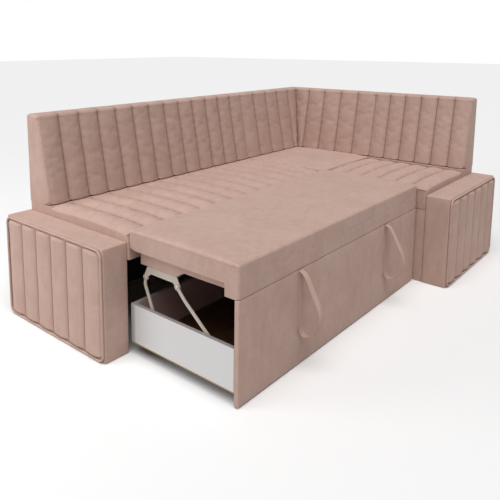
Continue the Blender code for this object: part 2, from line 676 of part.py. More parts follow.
def make_arm(bench, name, place, turn, front):
    """An arm box, its channelled outer pad and the welt round it.

    The arm is drawn with its length along x, from 0 at the wall to front at the room side, its height
    along y and its thickness along z, from 0 at the inner face. It is then turned upright and put in
    place.
    """
    core = ARM_THICKNESS - ARM_PAD
    low, high = (min(0.0, front), 0.0), (max(0.0, front), ARM_HEIGHT)
    carrier = new_empty(name + "_place", bench, place)
    carrier.rotation_euler = [math.radians(angle) for angle in turn]

    def hang(obj, lift, finish):
        obj.parent = carrier
        obj.location = (0.0, 0.0, lift)
        return dress(obj, finish)

    box = flat_shape(name + "_box", [rounded_outline(low, high, ARM_BOX_ROUND)], core)
    bevel(box, PADDED_EDGE, 2)
    hang(box, core / 2, VELVET)

    pad = arm_pad(name + "_pad", low[0], high[0], ARM_PAD_MARGIN + 2 * WELT_RADIUS + TOUCH)
    hang(pad, core + TOUCH, VELVET)

    middle = ARM_PAD_MARGIN + WELT_RADIUS
    path = rounded_outline((low[0] + middle, low[1] + middle), (high[0] - middle, high[1] - middle),
                           ARM_PAD_ROUND - WELT_RADIUS)
    curve = bpy.data.curves.new(name + "_welt_path", "CURVE")
    curve.dimensions = "3D"
    curve.bevel_depth = WELT_RADIUS
    curve.bevel_resolution = 1
    spline = curve.splines.new("POLY")
    spline.points.add(len(path) - 1)
    for target, (x, y) in zip(spline.points, path):
        target.co = (x, y, 0.0, 1.0)
    spline.use_cyclic_u = True
    welt = bpy.data.objects.new(name + "_welt", curve)
    PARTS.objects.link(welt)
    hang(welt, core + WELT_RADIUS + TOUCH, VELVET)


def arm_pad(name, low, high, inset):
    """The channelled pad on an arm's outer face, crowned and rounded to the arm's outline."""
    start, end = low + inset, high - inset
    pitch = (end - start) / ARM_CHANNELS
    radius = ARM_PAD_ROUND - 2 * WELT_RADIUS

    rings = []
    for place in stations(start, end, ARM_CHANNELS):
        edge = min(place - start, end - place)
        drop = radius - math.sqrt(max(radius ** 2 - max(radius - edge, 0.0) ** 2, 0.0)) + CORNER_EASE
        foot, head = inset + drop, ARM_HEIGHT - inset - drop
        fall = 0.55 * ARM_PAD * roll(edge) ** 2
        full = ARM_PAD - TOUCH - fall - CHANNEL_DEPTH * (1 - rib(place - start, pitch))
        full = max(full, 0.35 * ARM_PAD)
        rings.append([Vector(point) for point in (
            (place, foot, 0.0), (place, foot, 0.4 * full), (place, foot + 0.3 * PAD_SHOULDER, 0.85 * full),
            (place, foot + PAD_SHOULDER, full), (place, head - PAD_SHOULDER, full),
            (place, head - 0.3 * PAD_SHOULDER, 0.85 * full),
            (place, head, 0.4 * full), (place, head, 0.0))])
    return loft(name, rings)


def make_drawer(drawer):
    """The box of the bed unit: sides, rear, bottom, the padded front panel and its two straps."""
    front = -BED_REACH
    back_of_panel = front + FRONT_PANEL
    left, right = BED_LEFT + DRAWER_MARGIN, BED_RIGHT - DRAWER_MARGIN
    rear = -DRAWER_REAR
    for name, low, high in (("drawer_left_side", left, left + DRAWER_SIDE),
                            ("drawer_right_side", right - DRAWER_SIDE, right)):
        board(name, drawer, (low, back_of_panel + TOUCH, DRAWER_UNDERSIDE), (high, rear, DRAWER_RIM),
              LAMINATE)
    board("drawer_rear_panel", drawer, (left + DRAWER_SIDE + TOUCH, rear - DRAWER_SIDE, DRAWER_UNDERSIDE),
          (right - DRAWER_SIDE - TOUCH, rear, DRAWER_RIM), LAMINATE)
    board("drawer_bottom", drawer, (left, back_of_panel + TOUCH, DRAWER_UNDERSIDE - TOUCH - DRAWER_BOARD),
          (right, rear, DRAWER_UNDERSIDE - TOUCH), HARDBOARD, edge=0)
    panel, middle = box_mesh("drawer_front_panel", (BED_LEFT, front, FRONT_PANEL_CLEARANCE),
                             (BED_RIGHT, back_of_panel, SEAT_UNDERSIDE))
    bevel(panel, PADDED_EDGE, 2)
    dress(seat_at(panel, drawer, middle), VELVET)
    make_strap("pull_strap_1", drawer, BED_LEFT + FIRST_STRAP_OFFSET, front)
    make_strap("pull_strap_2", drawer, BED_RIGHT - SECOND_STRAP_OFFSET, front)


def teardrop(radius):
    """The arc of a loop that hangs from a point down a wall, which straight runs join to the point."""
    reach = math.hypot(STRAP_LOOP_RADIUS, STRAP_DROP)
    up = math.atan2(STRAP_DROP, STRAP_LOOP_RADIUS)
    spread = math.acos(radius / reach)
    turns = 18
    angles = [up + spread + 2 * (math.pi - spread) * k / turns for k in range(turns + 1)]
    return [(radius * math.cos(turn) - STRAP_LOOP_RADIUS, radius * math.sin(turn) - STRAP_DROP)
            for turn in angles]


def make_strap(name, drawer, place, front):
    """A loop of flat strap, sewn in at its top, that hangs down the front panel and bulges forwards."""
    outer = [(0.0, 0.0)] + teardrop(STRAP_LOOP_RADIUS)
    lean = STRAP_LOOP_RADIUS / STRAP_DROP
    inner = [(-lean * STRAP_SEWN, -STRAP_SEWN)] + teardrop(STRAP_LOOP_RADIUS - STRAP_THICKNESS)
    loop = flat_shape(name, [outer, inner], STRAP_WIDTH)
    dress(seat_at(loop, drawer, (place, front - TOUCH, SEAT_UNDERSIDE - STRAP_SEAM), SIDEWAYS), VELVET)


def make_castors(drawer):
    """Four small wheels in forks under the drawer; each wheel turns in a body of its own."""
    left, right = BED_LEFT + CASTOR_INSET, BED_RIGHT - CASTOR_INSET
    rear, front = -DRAWER_REAR - CASTOR_REAR, -BED_REACH + FRONT_PANEL + CASTOR_FRONT
    tip, shoulder = AXLE_RADIUS + CHEEK_MARGIN, CASTOR_PLATE_LENGTH / 3
    outline = [(tip * math.cos(math.radians(turn)), WHEEL_RADIUS + tip * math.sin(math.radians(turn)))
               for turn in (200, 235, 270, 305, 340)]
    outline = [(-shoulder, FORK_TOP - CASTOR_PLATE / 2), *outline, (shoulder, FORK_TOP - CASTOR_PLATE / 2)]
    for name, x, y in (("rear_left", left, rear), ("rear_right", right, rear),
                       ("front_left", left, front), ("front_right", right, front)):
        half = WHEEL_WIDTH / 2 + AXLE_PLAY
        fork_half = half + CASTOR_CHEEK
        low = (x - fork_half, y - CASTOR_PLATE_LENGTH / 2, FORK_TOP - CASTOR_PLATE)
        high = (x + fork_half, y + CASTOR_PLATE_LENGTH / 2, FORK_TOP)
        fork, middle = box_mesh("castor_fork_" + name, low, high)
        dress(seat_at(fork, drawer, middle), ZINC_STEEL)
        for side in (-1, 1):
            cheek = flat_shape("cheek_%s_%d" % (name, side), [outline], CASTOR_CHEEK)
            move_to(cheek, CUTTERS)
            seat_at(cheek, drawer, (x + side * (half + CASTOR_CHEEK / 2), y, 0.0), SIDEWAYS)
            boolean(fork, cheek, "UNION")
        axle = cylinder("axle_" + name, AXLE_RADIUS, 2 * fork_half - CASTOR_CHEEK, 12)
        move_to(axle, CUTTERS)
        seat_at(axle, drawer, (x, y, WHEEL_RADIUS), (0, 90, 0))
        boolean(fork, axle, "UNION")
        body = new_empty("castor_wheel_body_" + name, drawer, (x, y, WHEEL_RADIUS))
        wheel = turned_wheel("castor_wheel_" + name)
        dress(seat_at(wheel, body, (x, y, WHEEL_RADIUS), (0, 90, 0)), BLACK_PLASTIC)


def cylinder(name, radius, length, sides):
    """A round bar along its own z, with its origin at its middle."""
    bm = bmesh.new()
    bmesh.ops.create_cone(bm, cap_ends=True, segments=sides, radius1=radius, radius2=radius, depth=length)
    return object_from(bm, name)


def move_to(obj, collection):
    for home in list(obj.users_collection):
        home.objects.unlink(obj)
    collection.objects.link(obj)


def turned_wheel(name):
    """A wheel turned about its own z, with a bore for the axle and a rounded tread."""
    half, soft = WHEEL_WIDTH / 2, TREAD_ROUND
    bore = AXLE_RADIUS + AXLE_PLAY
    profile = [(bore, half), (WHEEL_RADIUS - soft, half), (WHEEL_RADIUS, half - soft),
               (WHEEL_RADIUS, -half + soft), (WHEEL_RADIUS - soft, -half), (bore, -half), (bore, half)]
    mesh = bpy.data.meshes.new(name)
    mesh.from_pydata([(x, 0.0, z) for x, z in profile], [(i, i + 1) for i in range(len(profile) - 1)], [])
    obj = bpy.data.objects.new(name, mesh)
    PARTS.objects.link(obj)
    screw = obj.modifiers.new("turned", "SCREW")
    screw.axis = "Z"
    screw.angle = 2 * math.pi
    screw.steps = 24
    screw.render_steps = 24
    screw.use_merge_vertices = True
    screw.merge_threshold = WELD
    weld = obj.modifiers.new("closed_bore", "WELD")
    weld.merge_threshold = WELD
    return obj


def plan_of(point):
    """A linkage point as (y, z) in the plan."""
    return (-point[0], point[1])


def make_lift(drawer, bodies):
    """Brackets in the drawer, the four links and the plates under the platform, for both sides."""
    for side, mirror in (("left", 1), ("right", -1)):
        edge = BED_LEFT if mirror == 1 else BED_RIGHT

        def across(distance):
            return edge + mirror * distance

        wall = DRAWER_MARGIN + DRAWER_SIDE + TOUCH
        bracket_mid = wall + PLATE_THICKNESS / 2
        link_mid = wall + PLATE_THICKNESS + TOUCH + LINK_THICKNESS / 2
        plate_mid = link_mid + LINK_THICKNESS / 2 + TOUCH + PLATE_THICKNESS / 2
        make_bracket(side, drawer, across, bracket_mid, link_mid)
        make_plate(side, bodies["platform"], across, plate_mid, link_mid)
        for kind, upper, step, lower, eyes, play in (
                ("rear", REAR_PIVOT_UP, REAR_LINK_BEND, REAR_PIVOT_LOW, (LINK_EYE, LINK_EYE), PIN_PLAY),
                ("front", FRONT_PIVOT_UP, FRONT_LINK_BEND, FRONT_PIVOT_LOW, (LINK_EYE, OPEN_EYE),
                 OPEN_PIN_PLAY)):
            name = "%s_link_%s" % (kind, side)
            body = bodies[name]
            centre = REAR_PIVOT_LOW if kind == "rear" else FRONT_PIVOT_UP
            bend = (upper[0] + step[0], upper[1] + step[1])
            points = [(-(p[0] - centre[0]), p[1] - centre[1]) for p in (upper, bend, lower)]
            holes = [circle_points(points[0], PIN_RADIUS + PIN_PLAY),
                     circle_points(points[-1], PIN_RADIUS + play)]
            link = flat_shape(name, [ribbon_points(points, eyes)] + holes, LINK_THICKNESS)
            y, z = plan_of(centre)
            dress(seat_at(link, body, (across(link_mid), y, z), SIDEWAYS), PAINTED_STEEL)


def add_pin(target, body, name, x_from, x_to, point, radius=PIN_RADIUS):
    """Joins a pin along x to a plate."""
    pin = cylinder(name, radius, abs(x_to - x_from), 16)
    move_to(pin, CUTTERS)
    y, z = plan_of(point)
    seat_at(pin, body, ((x_from + x_to) / 2, y, z), (0, 90, 0))
    boolean(target, pin, "UNION")


def make_bracket(side, drawer, across, bracket_mid, link_mid):
    """The plate on the drawer's side that carries the lower pivots of both links."""
    rear, front = REAR_PIVOT_LOW, FRONT_PIVOT_LOW
    outline = rounded_outline((-front[0] - BRACKET_MARGIN, rear[1] - BRACKET_MARGIN),
                              (-rear[0] + BRACKET_MARGIN, rear[1] + BRACKET_MARGIN), BRACKET_MARGIN * 0.9, 3)
    middle_y = -(rear[0] + front[0]) / 2
    shifted = [(x - middle_y, y - rear[1]) for x, y in outline]
    plate = flat_shape("link_bracket_" + side, [shifted], PLATE_THICKNESS)
    seat_at(plate, drawer, (across(bracket_mid), middle_y, rear[1]), SIDEWAYS)
    dress(plate, PAINTED_STEEL)
    reach = link_mid + LINK_THICKNESS / 2 + TOUCH + RIVET_HEAD
    head_from = link_mid + LINK_THICKNESS / 2 + TOUCH
    washer = PIN_RADIUS + OPEN_PIN_PLAY + WASHER_OVERLAP
    for tag, point, head in (("rear", rear, RIVET_RADIUS), ("front", front, washer)):
        add_pin(plate, drawer, "pin_low_%s_%s" % (tag, side), across(bracket_mid), across(reach), point)
        add_pin(plate, drawer, "head_low_%s_%s" % (tag, side), across(head_from), across(reach), point, head)


def make_plate(side, platform, across, plate_mid, link_mid):
    """The angle under the platform's rail, with an ear and a riveted pin for each link."""
    top = RAIL_DEEP_BOTTOM - TOUCH
    ear = LINK_EYE
    rear, front = plan_of(REAR_PIVOT_UP), plan_of(FRONT_PIVOT_UP)
    outline = [(-PLATE_FRONT, top), (-PLATE_REAR, top)]
    outline += [(rear[0] + ear * math.cos(t), rear[1] + ear * math.sin(t))
                for t in [math.radians(20 - 32 * k) for k in range(8)]]
    outline += [(-PLATE_REAR - EAR_RUN, PLATE_BOTTOM), (-PLATE_FRONT + EAR_RUN, PLATE_BOTTOM)]
    outline += [(front[0] + ear * math.cos(t), front[1] + ear * math.sin(t))
                for t in [math.radians(-30 - 28 * k) for k in range(7)]]
    middle = ((rear[0] + front[0]) / 2, top)
    shifted = [(x - middle[0], y - middle[1]) for x, y in outline]
    plate = flat_shape("lift_plate_" + side, [shifted], PLATE_THICKNESS)
    seat_at(plate, platform, (across(plate_mid), middle[0], middle[1]), SIDEWAYS)
    dress(plate, PAINTED_STEEL)
    inner = plate_mid - PLATE_THICKNESS / 2
    ends = sorted((across(inner + TOUCH), across(inner + PLATE_FLANGE)))
    flange, flange_middle = box_mesh("flange_" + side, (ends[0], -PLATE_FRONT + TOUCH, top - PLATE_THICKNESS),
                                     (ends[1], -PLATE_REAR - TOUCH, top - WELD), CUTTERS)
    seat_at(flange, platform, flange_middle)
    boolean(plate, flange, "UNION")
    reach = link_mid - LINK_THICKNESS / 2 - TOUCH - RIVET_HEAD
    head_to = link_mid - LINK_THICKNESS / 2 - TOUCH
    for tag, point in (("rear", REAR_PIVOT_UP), ("front", FRONT_PIVOT_UP)):
        add_pin(plate, platform, "pin_up_%s_%s" % (tag, side), across(plate_mid), across(reach), point)
        add_pin(plate, platform, "head_up_%s_%s" % (tag, side), across(head_to), across(reach), point,
                RIVET_RADIUS)


def make_platform(platform):
    """The upholstered slab with its front fascia, and the frame under it."""
    rear, front = -(SEAT_DEPTH + RUNNING), -BED_REACH
    back_of_fascia = front + FASCIA_THICKNESS

    def section(inset):
        r = PLATFORM_ROUND
        high, low = PLATFORM_TOP - inset, PLATFORM_UNDERSIDE
        points = [(rear - inset, low), (rear - inset, high - r), (rear - inset - 0.3 * r, high - 0.3 * r),
                  (rear - inset - r, high)]
        points += [((rear + front) / 2, high + PLATFORM_CROWN)]
        nose = front + inset
        points += [(nose + r, high), (nose + 0.3 * r, high - 0.3 * r), (nose, high - r),
                   (nose, FASCIA_BOTTOM + FASCIA_EDGE), (nose + FASCIA_EDGE, FASCIA_BOTTOM),
                   (back_of_fascia, FASCIA_BOTTOM), (back_of_fascia, low)]
        return points

    origin = Vector(((BED_LEFT + BED_RIGHT) / 2, (rear + front) / 2, PLATFORM_UNDERSIDE))
    rounding = [(PLATFORM_ROUND * (1 - math.cos(turn)), PLATFORM_ROUND * (1 - math.sin(turn)))
                for turn in (math.radians(18 + 36 * k) for k in range(3))]
    near_end = [(BED_LEFT + along, inset) for along, inset in rounding]
    far_end = [(BED_RIGHT - along, inset) for along, inset in reversed(rounding)]
    rings = [[Vector((x, y, z)) - origin for y, z in section(inset)] for x, inset in near_end + far_end]
    pad = loft("platform_pad", rings)
    dress(seat_at(pad, platform, origin), VELVET)

    top = PLATFORM_UNDERSIDE - TOUCH
    ends = (-RAIL_REAR, back_of_fascia + TOUCH)
    outline = [(ends[1], top), (ends[1], RAIL_SHALLOW_BOTTOM), (-RAIL_RISE_END, RAIL_SHALLOW_BOTTOM),
               (-RAIL_STEP, RAIL_DEEP_BOTTOM), (ends[0], RAIL_DEEP_BOTTOM), (ends[0], top)]
    for side, mirror, edge in (("left", 1, BED_LEFT), ("right", -1, BED_RIGHT)):
        rail = flat_shape("platform_rail_" + side, [outline], RAIL_THICKNESS)
        bevel(rail, COVERED_EDGE)
        x = edge + mirror * (RAIL_INSET + RAIL_THICKNESS / 2)
        hang_flat(rail, platform, (x, 0.0, 0.0), SIDEWAYS, VELVET)
    inset = RAIL_INSET + RAIL_THICKNESS + TOUCH
    board("platform_rail_rear", platform, (BED_LEFT + inset, -RAIL_REAR - RAIL_THICKNESS, RAIL_DEEP_BOTTOM),
          (BED_RIGHT - inset, -RAIL_REAR, top), VELVET, edge=COVERED_EDGE)


def make_hinges(bench, lid):
    """Two butt hinges in the slot behind the wing's lid."""
    third = HINGE_LENGTH / 3
    leaf_low, leaf_high = HINGE_HEIGHT - HINGE_LEAF_HEIGHT, HINGE_HEIGHT - 0.2 * HINGE_KNUCKLE
    low, high = -WING_LENGTH + HINGE_INSET, -SEAT_DEPTH - HINGE_INSET
    for count, y in enumerate((low, high), start=1):
        near, far = y - HINGE_LENGTH / 2, y + HINGE_LENGTH / 2
        fixed, middle = box_mesh("lid_hinge_fixed_%d" % count, (WALL_X - TOUCH - HINGE_LEAF, near, leaf_low),
                                 (WALL_X - TOUCH, far, leaf_high))
        dress(seat_at(fixed, bench, middle), ZINC_STEEL)
        moving, middle = box_mesh("lid_hinge_moving_%d" % count, (LID_REAR_X + TOUCH, near, leaf_low),
                                  (LID_REAR_X + TOUCH + HINGE_LEAF, far, leaf_high))
        dress(seat_at(moving, lid, middle), ZINC_STEEL)
        barrel(fixed, bench, "fixed_barrel_%d" % count, y, HINGE_LENGTH, HINGE_KNUCKLE, "UNION")
        barrel(fixed, bench, "fixed_slot_%d" % count, y, third + 2 * TOUCH, HINGE_NOTCH, "DIFFERENCE")
        barrel(fixed, bench, "fixed_pin_%d" % count, y, HINGE_LENGTH - TOUCH, HINGE_PIN, "UNION")
        for side in (-1, 1):
            step = third + TOUCH
            barrel(moving, lid, "moving_slot_%d_%d" % (count, side), y + side * step, third + TOUCH,
                   HINGE_NOTCH, "DIFFERENCE")
        barrel(moving, lid, "moving_barrel_%d" % count, y, third - 2 * TOUCH, HINGE_KNUCKLE, "UNION")
        barrel(moving, lid, "moving_bore_%d" % count, y, HINGE_LENGTH, HINGE_PIN + TOUCH, "DIFFERENCE")


def barrel(target, body, name, y, length, radius, operation):
    """Joins a round bar on the hinge line to a leaf, or takes it away."""
    bar = cylinder(name, radius, length, 16)
    move_to(bar, CUTTERS)
    seat_at(bar, body, (HINGE_X, y, HINGE_HEIGHT), (90, 0, 0))
    boolean(target, bar, operation)


def build():
    """Makes every body's empty and every piece, in the order that carries them."""
    bench = new_empty("bench", None, (0.0, 0.0, 0.0))
    lid = new_empty("wing_lid", bench, (HINGE_X, -(SEAT_DEPTH + WING_LENGTH) / 2, HINGE_HEIGHT))
    drawer = new_empty("drawer", bench, ((BED_LEFT + BED_RIGHT) / 2, -DRAWER_REAR, DRAWER_UNDERSIDE))
    middle_x = (BED_LEFT + BED_RIGHT) / 2
    bodies = {"platform": new_empty("platform", drawer, (middle_x, *plan_of(REAR_PIVOT_UP)))}
    for side, x in (("left", BED_LEFT), ("right", BED_RIGHT)):
        low, high = (x, *plan_of(REAR_PIVOT_LOW)), (x, *plan_of(FRONT_PIVOT_UP))
        bodies["rear_link_" + side] = new_empty("rear_link_body_" + side, drawer, low)
        bodies["front_link_" + side] = new_empty("front_link_body_" + side, bodies["platform"], high)
    make_arm(bench, "left_arm", (0.0, 0.0, 0.0), (90, 0, -90), LEFT_ARM_LENGTH)
    make_arm(bench, "right_arm", (LONG_LENGTH, -WING_LENGTH, 0.0), (90, 0, 0), -RIGHT_ARM_LENGTH)
    make_carcass(bench)
    make_long_seat(bench)
    make_corner_seat(bench)
    make_wing_seat(lid)
    make_backs(bench)
    make_hinges(bench, lid)
    make_drawer(drawer)
    make_castors(drawer)
    make_platform(bodies["platform"])
    make_lift(drawer, bodies)


build()
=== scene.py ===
"""Looks of a corner kitchen bench: channelled velvet on boards, a roll-out bed unit and its steel lift."""

import logging
import math
from dataclasses import dataclass, field
from enum import Enum
from functools import lru_cache
from typing import Callable, Optional, Sequence, Union

import bmesh
import bpy
from mathutils import Matrix, Vector, noise


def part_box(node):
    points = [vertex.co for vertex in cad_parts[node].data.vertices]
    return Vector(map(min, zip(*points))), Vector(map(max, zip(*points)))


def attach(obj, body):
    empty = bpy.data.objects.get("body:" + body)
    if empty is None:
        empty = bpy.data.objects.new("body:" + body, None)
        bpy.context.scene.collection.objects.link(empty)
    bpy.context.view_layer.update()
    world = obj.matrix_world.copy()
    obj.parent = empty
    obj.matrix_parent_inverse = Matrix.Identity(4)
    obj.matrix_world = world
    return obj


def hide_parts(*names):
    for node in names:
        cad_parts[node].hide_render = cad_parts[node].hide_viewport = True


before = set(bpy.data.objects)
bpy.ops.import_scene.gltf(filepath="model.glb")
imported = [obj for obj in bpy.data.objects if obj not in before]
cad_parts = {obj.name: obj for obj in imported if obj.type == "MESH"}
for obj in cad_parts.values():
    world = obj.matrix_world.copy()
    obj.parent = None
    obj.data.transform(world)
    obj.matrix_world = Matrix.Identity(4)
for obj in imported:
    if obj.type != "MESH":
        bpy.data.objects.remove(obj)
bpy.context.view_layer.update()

LOG = logging.getLogger("corner_bench")
WELD = 1e-6          # points closer than this are one point
TOUCH = 0.0003       # gap left between two pieces that touch
NO_SEAM = 1.0        # distance to a seam, in metres, where there is none
FAR_SEAM = 0.03      # distance given to points by a pad's own end, which isn't sewn
SHARP_FOLD = 52.0    # edges of a cover bent more than this, in degrees, stay sharp
WHEELS = [end + side for end in ("rear_", "front_") for side in ("left", "right")]

Colour = tuple[float, float, float]
Weight = Union[float, Callable[[float], float]]
Place = Callable[[float, float, float], Vector]
Socket = bpy.types.NodeSocket


@lru_cache(maxsize=None)
def box_of(node: str) -> tuple[Vector, Vector]:
    """The lowest and the highest corner of a frame piece."""
    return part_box(node)


class Finish(Enum):
    """What a piece is made of; the value is the record's material slot."""

    VELVET = "velvet_cushion"
    BOARD_VELVET = "velvet_board"
    STRAP_VELVET = "velvet_strap"
    LAMINATE = "laminate"
    HARDBOARD = "hardboard"
    LINING = "lining_board"
    PLYWOOD = "plywood"
    PAINTED_STEEL = "painted_steel"
    ZINC_STEEL = "zinc_steel"
    PLASTIC = "black_plastic"


class Wiring:
    """Adds nodes to a material's or a group's tree and hands on their sockets."""

    def __init__(self, tree: bpy.types.NodeTree) -> None:
        """Starts on a node tree."""
        self.tree = tree

    def fill(self, node: bpy.types.Node, values: dict) -> None:
        """Feeds a node's inputs.

        Args:
            node: the node.
            values: another node's output, or a plain value, for each input's name or number.
        """
        for key, value in values.items():
            socket = node.inputs[key]
            if isinstance(value, Socket):
                self.tree.links.new(value, socket)
            else:
                socket.default_value = (*value, 1.0) if socket.type == "RGBA" else value

    def node(self, kind: str, inputs: Optional[dict] = None, **settings: object) -> bpy.types.Node:
        """Adds one node.

        Args:
            kind: the node's type name.
            inputs: what feeds its inputs, as for fill.
            settings: properties of the node and their values.

        Returns:
            The new node.
        """
        made = self.tree.nodes.new(kind)
        count = len(self.tree.nodes)
        made.location = (230 * (count // 5), -190 * (count % 5))
        for key, value in settings.items():
            setattr(made, key, value)
        self.fill(made, inputs or {})
        return made

    def sums(self, operation: str, first: object, second: object = 0.0) -> Socket:
        """Works out one value from two by an operation of the Math node."""
        return self.node("ShaderNodeMath", {0: first, 1: second}, operation=operation).outputs[0]

    def times(self, first: object, second: object) -> Socket:
        """The product of two values."""
        return self.sums("MULTIPLY", first, second)

    def off(self, value: object, middle: float) -> Socket:
        """How far a value is from a middle one, either way."""
        return self.sums("ABSOLUTE", self.sums("SUBTRACT", value, middle))

    def remap(self, value: object, low: float, high: float, to_low: float = 0.0,
              to_high: float = 1.0) -> Socket:
        """Eases a value from one range to another and holds it at the ends.

        Args:
            value: the value to read.
            low: value that gives to_low.
            high: value that gives to_high.
            to_low: result at the low end.
            to_high: result at the high end.

        Returns:
            The result.
        """
        return self.node("ShaderNodeMapRange", dict(enumerate((value, low, high, to_low, to_high))),
                         interpolation_type="SMOOTHSTEP").outputs["Result"]

    def cloud(self, place: object, scale: object, detail: float, stir: float = 0.0) -> Socket:
        """Adds a soft noise.

        Args:
            place: socket with the position.
            scale: how many features to a metre.
            detail: how many finer layers it has.
            stir: how much it is distorted.

        Returns:
            The noise's value.
        """
        return self.node("ShaderNodeTexNoise", {"Vector": place, "Scale": scale, "Detail": detail,
                                                "Distortion": stir}).outputs["Fac"]

    def stretch(self, place: object, scale: Sequence[float]) -> Socket:
        """Scales a position along each axis, which stretches the pattern that reads it."""
        return self.node("ShaderNodeMapping", {"Vector": place, "Scale": scale}).outputs["Vector"]

    def axes(self, place: object) -> Sequence[Socket]:
        """The three coordinates of a position."""
        return self.node("ShaderNodeSeparateXYZ", {"Vector": place}).outputs

    def at_sides(self, place: object, axis: int, box: Sequence[Vector], skin: float) -> Socket:
        """Whether a position is in the skin of a box's two sides.

        Args:
            place: socket with the position.
            axis: the axis across the sides.
            box: the box's lowest and highest corner.
            skin: how thick the skin is.

        Returns:
            One there, and nothing elsewhere.
        """
        low, high = box[0][axis], box[1][axis]
        off = self.off(self.axes(place)[axis], (low + high) / 2)
        return self.sums("GREATER_THAN", off, (high - low) / 2 - skin)

    def blend(self, share: object, first: object, second: object) -> Socket:
        """Mixes a share of a second colour into a first one."""
        return self.node("ShaderNodeMix", {0: share, 6: first, 7: second}, data_type="RGBA").outputs[2]

    def relief(self, height: object, distance: float, strength: float) -> Socket:
        """Bumps the surface.

        Args:
            height: socket with the height.
            distance: how high a height of one stands, in metres.
            strength: how much of it shows.

        Returns:
            The bumped normal.
        """
        return self.node("ShaderNodeBump", {"Height": height, "Distance": distance,
                                            "Strength": strength}).outputs["Normal"]

    def use(self, group: bpy.types.NodeTree, **values: object) -> Sequence[Socket]:
        """Places a shared group.

        Args:
            group: the group's tree.
            values: what feeds its inputs, by their names.

        Returns:
            Its outputs.
        """
        return self.node("ShaderNodeGroup", values, node_tree=group).outputs

    def give(self, **values: Socket) -> bpy.types.NodeTree:
        """Ends a shared group with its outputs.

        Args:
            values: the socket that feeds each output, by its name.

        Returns:
            The group's tree.
        """
        for label, value in values.items():
            kind = "Color" if value.type == "RGBA" else "Float"
            self.tree.interface.new_socket(name=label, in_out="OUTPUT", socket_type="NodeSocket" + kind)
        self.node("NodeGroupOutput", values)
        return self.tree


def start_group(name: str, **inputs: str) -> tuple[Wiring, Sequence[Socket]]:
    """Starts a shared shader group.

    Args:
        name: the group's name.
        inputs: the kind of each input, by its name: Float, Vector or Color.

    Returns:
        The group's wiring and its inputs.
    """
    tree = bpy.data.node_groups.new(name, "ShaderNodeTree")
    for label, kind in inputs.items():
        tree.interface.new_socket(name=label, in_out="INPUT", socket_type="NodeSocket" + kind)
    wire = Wiring(tree)
    return wire, wire.node("NodeGroupInput").outputs


def make_nap_group() -> bpy.types.NodeTree:
    """Brushed velvet: soft clouds where the pile lies another way, and the fine pile itself."""
    wire, given = start_group("brushed_nap", Place="Vector", Pale="Color", Deep="Color", Scale="Float")
    place = given["Place"]
    hand = wire.cloud(place, 7.0, 4.0, 0.8)
    brushed = wire.cloud(wire.stretch(place, (1.0, 1.0, 0.45)), 34.0, 4.0, 0.5)
    pile = wire.cloud(place, given["Scale"], 2.0)
    mix = wire.times(hand, 0.45)
    for layer, share in ((brushed, 0.55), (wire.cloud(place, 150.0, 2.0), 0.40), (pile, 0.35)):
        mix = wire.sums("ADD", mix, wire.times(layer, share))
    colour = wire.blend(wire.remap(mix, 0.55, 1.20), given["Deep"], given["Pale"])
    return wire.give(Colour=colour, Pile=pile, Matt=wire.remap(hand, 0.3, 0.7, 0.92, 0.78))


def make_seam_group() -> bpy.types.NodeTree:
    """A sewn channel's seam, read from how far off it is and how far along it a point lies: masks for shade
    painted into the seam's crease and across the valley beside it, and puckers along it.
    """
    wire, given = start_group("sewn_seam", Gap="Float", Run="Float")
    gap = given["Gap"]
    # painted shade: how near the seam a point lies, for the shade painted across the valley
    outer = wire.remap(gap, 0.0, 0.021, 1.0, 0.0)
    run = wire.times(given["Run"], 150.0)
    along = wire.node("ShaderNodeCombineXYZ", {"X": run, "Y": wire.times(gap, 26.0)}).outputs["Vector"]
    folds = wire.sums("SUBTRACT", wire.cloud(along, 1.0, 1.5), 0.5)
    # the first two outputs mask painted shade, a thin line in the seam's crease and a wide soft band across
    # the valley; the last is a bump
    return wire.give(Crease=wire.remap(gap, 0.0, 0.0036, 1.0, 0.0), Valley=wire.times(outer, outer),
                     Pucker=wire.times(folds, wire.remap(gap, 0.001, 0.022, 1.0, 0.0)))


def make_grain_group() -> bpy.types.NodeTree:
    """Grain of a wood-based board: long fibres, and short dark pores among them."""
    wire, given = start_group("board_grain", Place="Vector", Scale="Float")
    grain = wire.cloud(given["Place"], given["Scale"], 5.0, 1.6)
    pores = wire.cloud(given["Place"], wire.times(given["Scale"], 7.0), 2.0, 0.2)
    return wire.give(Grain=wire.remap(grain, 0.3, 0.7), Pores=wire.remap(pores, 0.58, 0.72))


def make_speck_group() -> bpy.types.NodeTree:
    """Fine specks and a low unevenness, for sheet goods, moulded plastic and paint."""
    wire, given = start_group("specks", Place="Vector", Scale="Float")
    fine = wire.cloud(given["Place"], given["Scale"], 2.0)
    broad = wire.cloud(given["Place"], wire.times(given["Scale"], 0.06), 3.0, 0.5)
    return wire.give(Specks=wire.remap(fine, 0.55, 0.75),
                     Relief=wire.sums("ADD", wire.times(broad, 0.7), wire.times(fine, 0.3)))


def make_scuff_group() -> bpy.types.NodeTree:
    """Handling marks on metal: thin scratches and broad smudges."""
    wire, given = start_group("handling_marks", Place="Vector", Scale="Float")
    line = wire.cloud(wire.stretch(given["Place"], (1.0, 0.16, 1.0)), given["Scale"], 3.0, 2.4)
    smudge = wire.cloud(given["Place"], wire.times(given["Scale"], 0.12), 3.0, 0.8)
    return wire.give(Scratch=wire.remap(wire.off(line, 0.5), 0.0, 0.012, 1.0, 0.0),
                     Smudge=wire.remap(smudge, 0.35, 0.7))


@dataclass
class Groups:
    """The shared shader groups, each built once."""

    nap: bpy.types.NodeTree = field(default_factory=make_nap_group)
    seam: bpy.types.NodeTree = field(default_factory=make_seam_group)
    grain: bpy.types.NodeTree = field(default_factory=make_grain_group)
    speck: bpy.types.NodeTree = field(default_factory=make_speck_group)
    scuff: bpy.types.NodeTree = field(default_factory=make_scuff_group)


